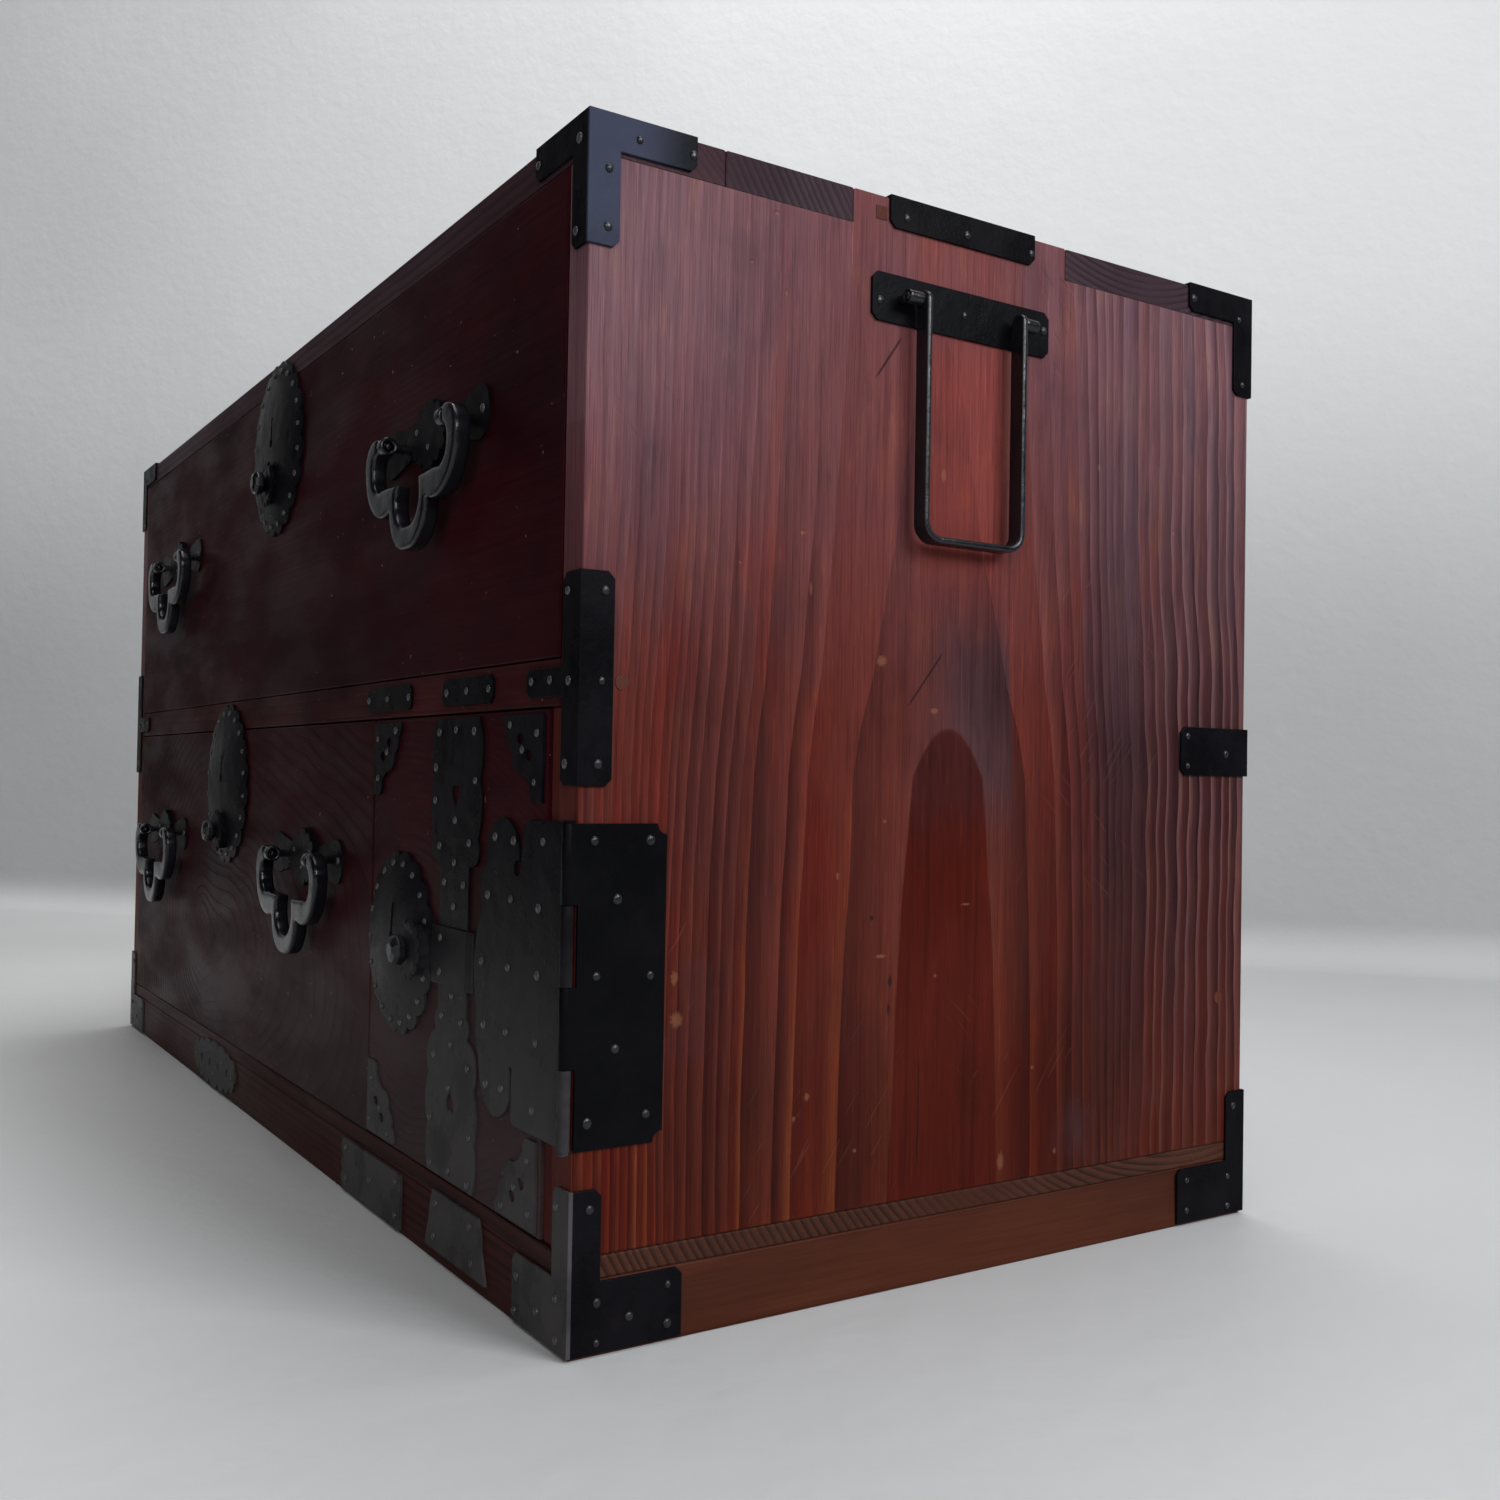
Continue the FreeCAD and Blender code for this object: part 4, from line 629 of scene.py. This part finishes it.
# which iron a node gets, by the end of its name; the first that fits counts
ironByName = (
    (barIron, ("_pull_right", "_pull_left", "_handle", "_knob", "_eyes")),
    (darkIron, ("handle_plates", "hinge_case_leaf")),
    (wornIron, ("_lock_plate", "_lock_arm", "_centre_strap", "door_corner_irons", "_door_leaf")),
    (strapIron, ("_bolt", "_lock_case", "_plates", "_pin", "_irons", "_iron_right", "_iron_left",
                 "_edge_straps", "_strap_right", "_strap_left")),
)
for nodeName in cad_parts:
    fitting = [iron for iron, endings in ironByName if nodeName.endswith(endings)]
    if fitting:
        paint([nodeName], fitting[0])
print("iron done")


# nail heads
nailLook = {
    "radius": 2.3 * mm, "height": 1.1 * mm, "sides": 10,
    # rings of the head as shares of radius and height
    "rings": ((1.0, -0.25), (1.0, 0.18), (0.86, 0.60), (0.52, 0.93)),
}


def addNail(builder, point, outward, scale, dice):
    # a low, hand-made head, never quite round
    outward = Vector(outward).normalized()
    right = Vector((0, 0, 1)).cross(outward).normalized()
    up = outward.cross(right)
    sides = nailLook["sides"]
    turn = dice.uniform(0, math.tau)
    radius = nailLook["radius"] * scale * dice.uniform(0.86, 1.12)
    height = nailLook["height"] * scale * dice.uniform(0.8, 1.2)
    squash = dice.uniform(0.86, 1.0)
    rings = []
    for reach, rise in nailLook["rings"]:
        ring = []
        for number in range(sides):
            angle = turn + math.tau * number / sides
            uneven = 1.0 + dice.uniform(-0.04, 0.04)
            flat = right * math.cos(angle) * squash + up * math.sin(angle)
            place = Vector(point) + flat * radius * reach * uneven + outward * height * rise
            ring.append(builder.verts.new(place))
        rings.append(ring)
    crown = builder.verts.new(Vector(point) + outward * height * dice.uniform(0.98, 1.05))
    for number in range(sides):
        after = (number + 1) % sides
        for low, high in zip(rings, rings[1:]):
            builder.faces.new((low[number], low[after], high[after], high[number]))
        builder.faces.new((rings[-1][number], rings[-1][after], crown))


def meshPiece(name, builder, material, body, smooth=True):
    mesh = bpy.data.meshes.new(name)
    builder.to_mesh(mesh)
    builder.free()
    for face in mesh.polygons:
        face.use_smooth = smooth
    piece = bpy.data.objects.new(name, mesh)
    bpy.context.scene.collection.objects.link(piece)
    mesh.materials.append(material)
    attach(piece, body)
    return piece


def nails(name, places, body, seed):
    dice = random.Random(seed)
    builder = bmesh.new()
    for point, outward, scale in places:
        addNail(builder, point, outward, scale, dice)
    meshPiece(name, builder, nailIron, body)


def onFront(spots, height, scale, face=frontY):
    return [((x * mm, face - height * mm, z * mm), (0, -1, 0), scale) for x, z in spots]


def onRear(spots, height, scale):
    return [((x * mm, rearY + height * mm, z * mm), (0, 1, 0), scale) for x, z in spots]


def onSide(side, spots, height, scale):
    away = side * (rightX + height * mm)
    return [((away, frontY + t * mm, z * mm), (side, 0, 0), scale) for t, z in spots]


# how far each iron stands proud of the wood, in mm
ironHeight = {"sheet": 1.4, "leaf": 1.5, "centreStrap": 1.2, "lockArm": 2.7, "lockPlate": 2.6,
              "pullStem": 3.8}
# where the nails sit, in mm: on the sides (distance from the front edge, level), else (x, level)
caseNailSpots = {
    "sides": ((8, 484), (8, 460), (22, 499), (48, 499), (164, 498), (201, 498), (243, 498), (149, 457),
              (200, 459), (252, 461), (363, 499), (400, 494), (403, 458), (362, 262), (362, 246), (393, 253),
              (10, 311), (9, 274), (8, 240), (8, 60), (12, 22), (12, 6), (45, 24), (45, 8), (27, 14),
              (402, 60), (398, 22), (398, 6), (365, 24), (365, 8)),
    "frontCorners": ((443, 497), (403, 499), (441, 459), (440, 311), (442, 274), (440, 240), (406.4, 275),
                     (424.5, 275), (440, 60), (441, 23), (441.8, 6.5), (402.7, 21), (401, 6), (423, 12.4)),
    "frontPlates": ((195.5, 274), (224.5, 274), (256.4, 274), (309, 274), (334, 274), (360, 274),
                    (172, 25), (172, 8), (212, 16.5), (252, 25), (252, 8), (308, 28), (306, 12), (350, 28),
                    (353, 12), (-188, 18), (-161, 24), (-136, 12), (-111, 24), (-83, 18)),
    "rear": ((443, 497), (403, 499), (441, 459), (420, 254), (438, 254), (440, 60), (441, 20), (405, 20)),
    "hinge": ((7, 209), (33, 209), (18, 185), (9, 154), (34, 153), (18, 124), (33, 96), (6, 95)),
}
doorNailSpots = {
    "hinge": ((372.7, 207.3), (392.7, 206.4), (422.7, 207.3), (365.5, 180.9), (390.9, 180.9), (419.1, 179.1),
              (360, 150.4), (389.1, 150.9), (419.1, 150.9), (363.3, 122.4), (388.2, 122.7), (418.7, 122.7),
              (367.3, 96.5), (384.4, 97.4), (416.4, 94)),
    "centreStrap": ((302, 255), (323, 256), (345, 255), (298, 238), (298, 222), (348, 232), (324, 213),
                    (305, 200), (342, 203), (324, 193), (312, 183), (336, 183), (324, 172), (324, 130),
                    (312, 119), (336, 119), (324, 107), (303, 99), (345, 99), (322, 86), (299, 68), (348, 68),
                    (300, 46), (324, 47), (347, 46)),
    "lockArm": ((311.5, 156.4), (311.5, 140)),
    "corners": ((212, 50), (214, 72), (240, 47), (227, 58), (414, 50), (412, 72), (386, 47), (399, 58),
                (212, 253), (214, 232), (240, 257), (227, 246), (414, 253), (412, 232), (386, 257),
                (399, 246)),
}


def mirrored(spots, side):
    return [(side * x, z) for x, z in spots]


sheet = ironHeight["sheet"]
caseNailPlaces = []
for side in (1, -1):
    caseNailPlaces += onSide(side, caseNailSpots["sides"], sheet, 0.85)
for side in (1, -1):
    caseNailPlaces += onFront(mirrored(caseNailSpots["frontCorners"], side), sheet, 0.9)
caseNailPlaces += onFront(caseNailSpots["frontPlates"], sheet, 0.8)
for side in (1, -1):
    caseNailPlaces += onRear(mirrored(caseNailSpots["rear"], side), sheet, 0.9)
caseNailPlaces += onSide(1, caseNailSpots["hinge"], ironHeight["leaf"], 0.95)
nails("caseNails", caseNailPlaces, "case", 11)

doorNailPlaces = []
for iron, height, scale in (("hinge", "leaf", 0.9), ("centreStrap", "centreStrap", 0.85),
                            ("lockArm", "lockArm", 0.9), ("corners", "sheet", 0.75)):
    doorNailPlaces += onFront(doorNailSpots[iron], ironHeight[height], scale, faceY)
nails("doorNails", doorNailPlaces, "locker_door", 12)


def plateNails(name, body, radius, petals):
    # one nail in each petal, leaning outwards a little
    low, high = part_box(name)
    plateY = faceY - ironHeight["lockPlate"] * mm
    centre = Vector(((low[0] + high[0]) / 2, plateY, (low[2] + high[2]) / 2))
    places = []
    for number in range(petals):
        angle = math.tau * (number + 0.5) / petals
        aside, up = math.sin(angle), math.cos(angle)
        places.append((centre + Vector((aside * radius, 0, up * radius)), (0.2 * aside, -1, 0.2 * up), 0.8))
    nails(name + "Nails", places, body, 13 + petals)


plateNails("top_drawer_lock_plate", "top_drawer", 51 * mm, 20)
plateNails("lower_drawer_lock_plate", "lower_drawer", 51 * mm, 20)
plateNails("door_lock_plate", "locker_door", 41 * mm, 18)
for drawer in ("top_drawer", "lower_drawer"):
    drawerPlaces = []
    for hand in ("left", "right"):
        low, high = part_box(drawer + "_pull_" + hand)
        middle, level = (low[0] + high[0]) / 2 / mm, high[2] / mm - 4.7
        drawerPlaces += onFront(((middle - 64, level), (middle + 64, level)), sheet, 1.0, faceY)
        drawerPlaces += onFront(((middle - 16, level + 3), (middle + 16, level + 3), (middle, level - 7)),
                                ironHeight["pullStem"], 0.7, faceY)
    nails(drawer + "PullNails", drawerPlaces, drawer, 31)
print("nails done")


# knobs: a short head with eight faces on a petalled rosette
knobLook = {
    # rings as (radius, distance from the seat) in mm; the plain knob reaches plainLength from the seat
    "sides": 8, "head": ((4.4, 0.4), (4.6, 2.2), (6.3, 2.9), (7.8, 4.4), (7.8, 7.4), (6.6, 9.2), (3.4, 10.2)),
    "petals": 12, "rosette": ((15.2, -0.15), (15.2, 0.75), (13.4, 1.55), (9.6, 1.30), (5.2, 1.75)),
    "notch": 0.13, "headFrom": 1.8, "plainLength": 15.0, "arris": 0.35 * mm,
}


def addBevel(piece, width, angle):
    bevel = piece.modifiers.new("arris", "BEVEL")
    bevel.width = width
    bevel.segments = 2
    bevel.limit_method = "ANGLE"
    bevel.angle_limit = math.radians(angle)


def knob(nodeName):
    low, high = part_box(nodeName)
    seat = low[1] + knobLook["plainLength"] * mm
    centre = Vector(((low[0] + high[0]) / 2, seat, (low[2] + high[2]) / 2))
    builder = bmesh.new()

    def turned(rings, steps, reach, offset=0.0):
        # rings of points joined from the seat outwards and closed at both ends
        rows = []
        for number, (radius, rise) in enumerate(rings):
            row = []
            for step in range(steps):
                angle = math.tau * (step + offset) / steps
                wide = radius * reach(angle, number) * mm
                point = centre + Vector((math.sin(angle) * wide, -rise * mm, math.cos(angle) * wide))
                row.append(builder.verts.new(point))
            rows.append(row)
        for lower, upper in zip(rows, rows[1:]):
            for step in range(steps):
                after = (step + 1) % steps
                builder.faces.new((lower[step], lower[after], upper[after], upper[step]))
        builder.faces.new(rows[-1])
        builder.faces.new(list(reversed(rows[0])))

    def petal(angle, number):
        # the notches fade towards the middle
        notch = knobLook["notch"] if number < 3 else knobLook["notch"] * 0.35
        return 1.0 - notch * (1.0 - abs(math.sin(angle * knobLook["petals"] / 2)) ** 0.6)

    turned(knobLook["rosette"], knobLook["petals"] * 10, petal)
    turned(knobLook["head"], knobLook["sides"], lambda angle, number: 1.0, 0.5)
    bmesh.ops.recalc_face_normals(builder, faces=builder.faces)
    piece = meshPiece(nodeName + "Head", builder, wornIron, nodeName, smooth=False)
    piece.data.materials.append(barIron)
    for face in piece.data.polygons:
        # the head itself is polished by hands
        face.material_index = int(face.center.y < seat - knobLook["headFrom"] * mm)
    addBevel(piece, knobLook["arris"], 24)
    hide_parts(nodeName)


for nodeName in ("door_knob", "top_drawer_knob", "lower_drawer_knob"):
    knob(nodeName)
print("knobs done")


# wooden pegs in the sides
pegLook = {
    "wood": {"pith": (0.0, 0.5), "spacing": 1.1 * mm, "tone": (0.10, 0.030, 0.018),
             "lines": (0.03, 0.012, 0.01), "relief": 0.1 * mm},
    # distance from the front edge, level and radius in mm, and the number of corners
    "places": ((150, 498, 4.725, 4), (19, 274, 3.5, 12), (390, 120, 3.5, 12)),
    "sunk": 1.5 * mm, "proud": 0.35 * mm, "taper": 0.93,
}
pegBuilder = bmesh.new()
pegDice = random.Random(5)
for side in (1, -1):
    for t, z, radius, corners in pegLook["places"]:
        centre = Vector((side * rightX, frontY + t * mm, z * mm))
        inner = []
        outer = []
        for number in range(corners):
            angle = math.tau * (number + 0.5) / corners + pegDice.uniform(-0.03, 0.03)
            flat = Vector((0, math.cos(angle), math.sin(angle))) * radius * mm
            inner.append(pegBuilder.verts.new(centre + flat - Vector((side * pegLook["sunk"], 0, 0))))
            outward = Vector((side * pegLook["proud"], 0, 0))
            outer.append(pegBuilder.verts.new(centre + flat * pegLook["taper"] + outward))
        for number in range(corners):
            after = (number + 1) % corners
            pegBuilder.faces.new((inner[number], inner[after], outer[after], outer[number]))
        pegBuilder.faces.new(outer)
bmesh.ops.recalc_face_normals(pegBuilder, faces=pegBuilder.faces)
meshPiece("sidePegs", pegBuilder, boardWood("pegWood", pegLook["wood"]), "case", smooth=False)
print("pegs done")


# rounded edges of boards and flat irons
arrises = {
    0.9 * mm: ("top_main_plank", "top_front_plank", "right_side_board", "left_side_board", "base_rails",
               "middle_rail", "bottom_board", "door_jamb"),
    0.3 * mm: ("_leaf", "_centre_strap", "_irons", "_arm", "_iron_right", "_iron_left", "_corner_strap_right",
               "_corner_strap_left"),
}
for width, endings in arrises.items():
    for nodeName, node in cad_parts.items():
        if nodeName.endswith(endings):
            weld = node.modifiers.new("weld", "WELD")
            weld.merge_threshold = 1e-5
            addBevel(node, width, 50)


def forge(nodeNames, voxel, passes, slimmer=0.0):
    # rounds a plain bar to a forged one: even small faces over the whole shape, then smoothing
    for nodeName in nodeNames:
        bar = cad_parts[nodeName]
        remesh = bar.modifiers.new("evenFaces", "REMESH")
        remesh.mode = "VOXEL"
        remesh.voxel_size = voxel
        remesh.use_smooth_shade = True
        smooth = bar.modifiers.new("forged", "SMOOTH")
        smooth.factor = 0.5
        smooth.iterations = passes
        if slimmer:
            slim = bar.modifiers.new("slimmer", "DISPLACE")
            slim.mid_level = 0.0
            slim.strength = -slimmer


pulls = [drawer + "_pull_" + hand for drawer in ("top_drawer", "lower_drawer") for hand in ("right", "left")]
forge(pulls, 0.8 * mm, 26, slimmer=0.6 * mm)
forge(["top_drawer_pull_eyes", "lower_drawer_pull_eyes", "handle_eyes"], 0.6 * mm, 4)
forge(["right_handle", "left_handle"], 0.7 * mm, 4)
print("edges and bars done")


# room, light and camera; angles in degrees, the focal length in pixels of the photograph's frame
photoView = {"turn": 56.94, "pitch": 1.09, "roll": 0.98, "eye": (0.9853, -0.4710, 0.2355),
             "focal": 1470.7, "frame": 1500}
room = {"wallBehind": 2.128, "wallTurn": 15.2, "bend": 0.06, "bendSteps": 12, "side": 6.0, "nearEdge": -6.0,
        "wallHeight": 5.0, "tones": (0.42, 0.46), "roughness": 0.55, "gloss": 0.3}
lamps = {
    # place, what it points at, size, power and colour
    "windowLight": ((3.05, 1.00, 1.95), (0.45, 0.0, 0.25), 1.5, 92, (0.92, 0.96, 1.0)),
    "sideLight": ((3.0, -0.85, 1.35), (0.3, -0.3, 0.3), 0.9, 26, (0.95, 0.97, 1.0)),
    "topLight": ((0.4, 0.3, 3.1), (0.2, 0.0, 0.0), 2.6, 62, (1, 1, 1)),
    "wallLight": ((-0.5, 0.5, 2.9), (-1.0, 1.5, 1.5), 1.2, 24, (1, 1, 1)),
    "frontFill": ((2.4, -3.2, 1.5), (0.0, 0.0, 0.2), 2.4, 24, (1, 1, 1)),
}
skyGlow = {"colour": (0.84, 0.86, 0.90, 1.0), "strength": 0.018}
eye = Vector(photoView["eye"]) + Vector((0, middleY, 0))


def roomMaterial(name):
    material, shader = newMaterial(name, room["roughness"], room["gloss"])
    w = Wires(material)
    place = w.place()
    darker, paler = room["tones"]
    tone = w.mix(w.range(w.noise(place, 1.3, 4.0, 0.5), 0.3, 0.7), grey(darker), grey(paler))
    # painted light and shade on the backdrop: paler high on the wall and at the left of the floor, darker at
    # the right
    x, y, z = w.parts(place)
    across = w.plus(w.times(x, 0.545), w.times(y, 0.838))
    level = w.times(w.range(z, 0.35, 0.95, 1.0, 1.5), w.range(across, 0.2, 1.1, 1.0, 0.80))
    leftFloorLight = w.times(w.fall(across, -0.60, 0.1), w.fall(z, 0.0, 0.05))
    level = w.times(level, w.maths("MULTIPLY_ADD", leftFloorLight, 0.45, 1.0))
    w.put(shader.inputs["Base Color"], w.mix(1.0, tone, w.join(level, level, level), "MULTIPLY"))
    w.put(shader.inputs["Normal"], w.bump(w.noise(place, 40.0, 4.0), 0.8 * mm))
    # from its back the wall lets the eye through, so that the chest shows from behind too
    fromBack = w.times(w.node("ShaderNodeNewGeometry").outputs["Backfacing"],
                       w.node("ShaderNodeLightPath").outputs["Is Camera Ray"])
    both = w.node("ShaderNodeMixShader")
    clear = w.node("ShaderNodeBsdfTransparent").outputs["BSDF"]
    for index, value in enumerate((fromBack, shader.outputs["BSDF"], clear)):
        w.put(both.inputs[index], value)
    w.put(w.tree.nodes["Material Output"].inputs["Surface"], both.outputs["Shader"])
    return material


def backdrop():
    # floor that bends up into a wall behind the chest
    view = math.radians(photoView["turn"])
    turned = math.radians(photoView["turn"] - room["wallTurn"])
    away = Vector((-math.sin(turned), math.cos(turned), 0))
    across = Vector((away.y, -away.x, 0))
    wallPoint = eye + Vector((-math.sin(view), math.cos(view), 0)) * room["wallBehind"]
    bend = room["bend"]
    start = wallPoint.dot(away) - bend
    profile = [(room["nearEdge"], 0.0)]
    for step in range(room["bendSteps"] + 1):
        angle = math.pi / 2 * step / room["bendSteps"]
        profile.append((start + bend * math.sin(angle), bend * (1 - math.cos(angle))))
    profile.append((start + bend, room["wallHeight"]))
    builder = bmesh.new()
    rows = []
    for reach, height in profile:
        middle = away * reach + Vector((0, 0, height))
        rows.append([builder.verts.new(middle + across * side * room["side"]) for side in (-1, 1)])
    for low, high in zip(rows, rows[1:]):
        builder.faces.new((low[0], low[1], high[1], high[0]))
    mesh = bpy.data.meshes.new("studioFloor")
    builder.to_mesh(mesh)
    builder.free()
    for face in mesh.polygons:
        face.use_smooth = True
    floor = bpy.data.objects.new("studioFloor", mesh)
    bpy.context.scene.collection.objects.link(floor)
    mesh.materials.append(roomMaterial("paleFloor"))


def addLamps():
    for name, (place, target, size, power, colour) in lamps.items():
        light = bpy.data.lights.new(name, "AREA")
        light.energy = power
        light.size = size
        light.color = colour
        lamp = bpy.data.objects.new(name, light)
        lamp.location = place
        lamp.rotation_euler = (Vector(target) - Vector(place)).to_track_quat("-Z", "Y").to_euler()
        bpy.context.scene.collection.objects.link(lamp)
    world = bpy.data.worlds.new("studio")
    bpy.context.scene.world = world
    world.use_nodes = True
    world.node_tree.nodes["Background"].inputs["Color"].default_value = skyGlow["colour"]
    world.node_tree.nodes["Background"].inputs["Strength"].default_value = skyGlow["strength"]


def photoCamera():
    turn = math.radians(photoView["turn"])
    pitch = math.radians(photoView["pitch"])
    roll = math.radians(photoView["roll"])
    forward = Vector((-math.sin(turn) * math.cos(pitch), math.cos(turn) * math.cos(pitch), math.sin(pitch)))
    right = Vector((math.cos(turn), math.sin(turn), 0))
    up = right.cross(forward)
    rolledRight = right * math.cos(roll) + up * math.sin(roll)
    rolledUp = up * math.cos(roll) - right * math.sin(roll)
    data = bpy.data.cameras.new("photoCamera")
    data.sensor_fit = "HORIZONTAL"
    data.sensor_width = 36.0
    data.lens = data.sensor_width * photoView["focal"] / photoView["frame"]
    data.clip_start = 0.01
    camera = bpy.data.objects.new("photoCamera", data)
    matrix = Matrix((rolledRight, rolledUp, -forward)).transposed().to_4x4()
    matrix.translation = eye
    camera.matrix_world = matrix
    bpy.context.scene.collection.objects.link(camera)
    bpy.context.scene.camera = camera


backdrop()
addLamps()
photoCamera()
bpy.context.scene.view_settings.view_transform = "Standard"
print("room, light and camera done")
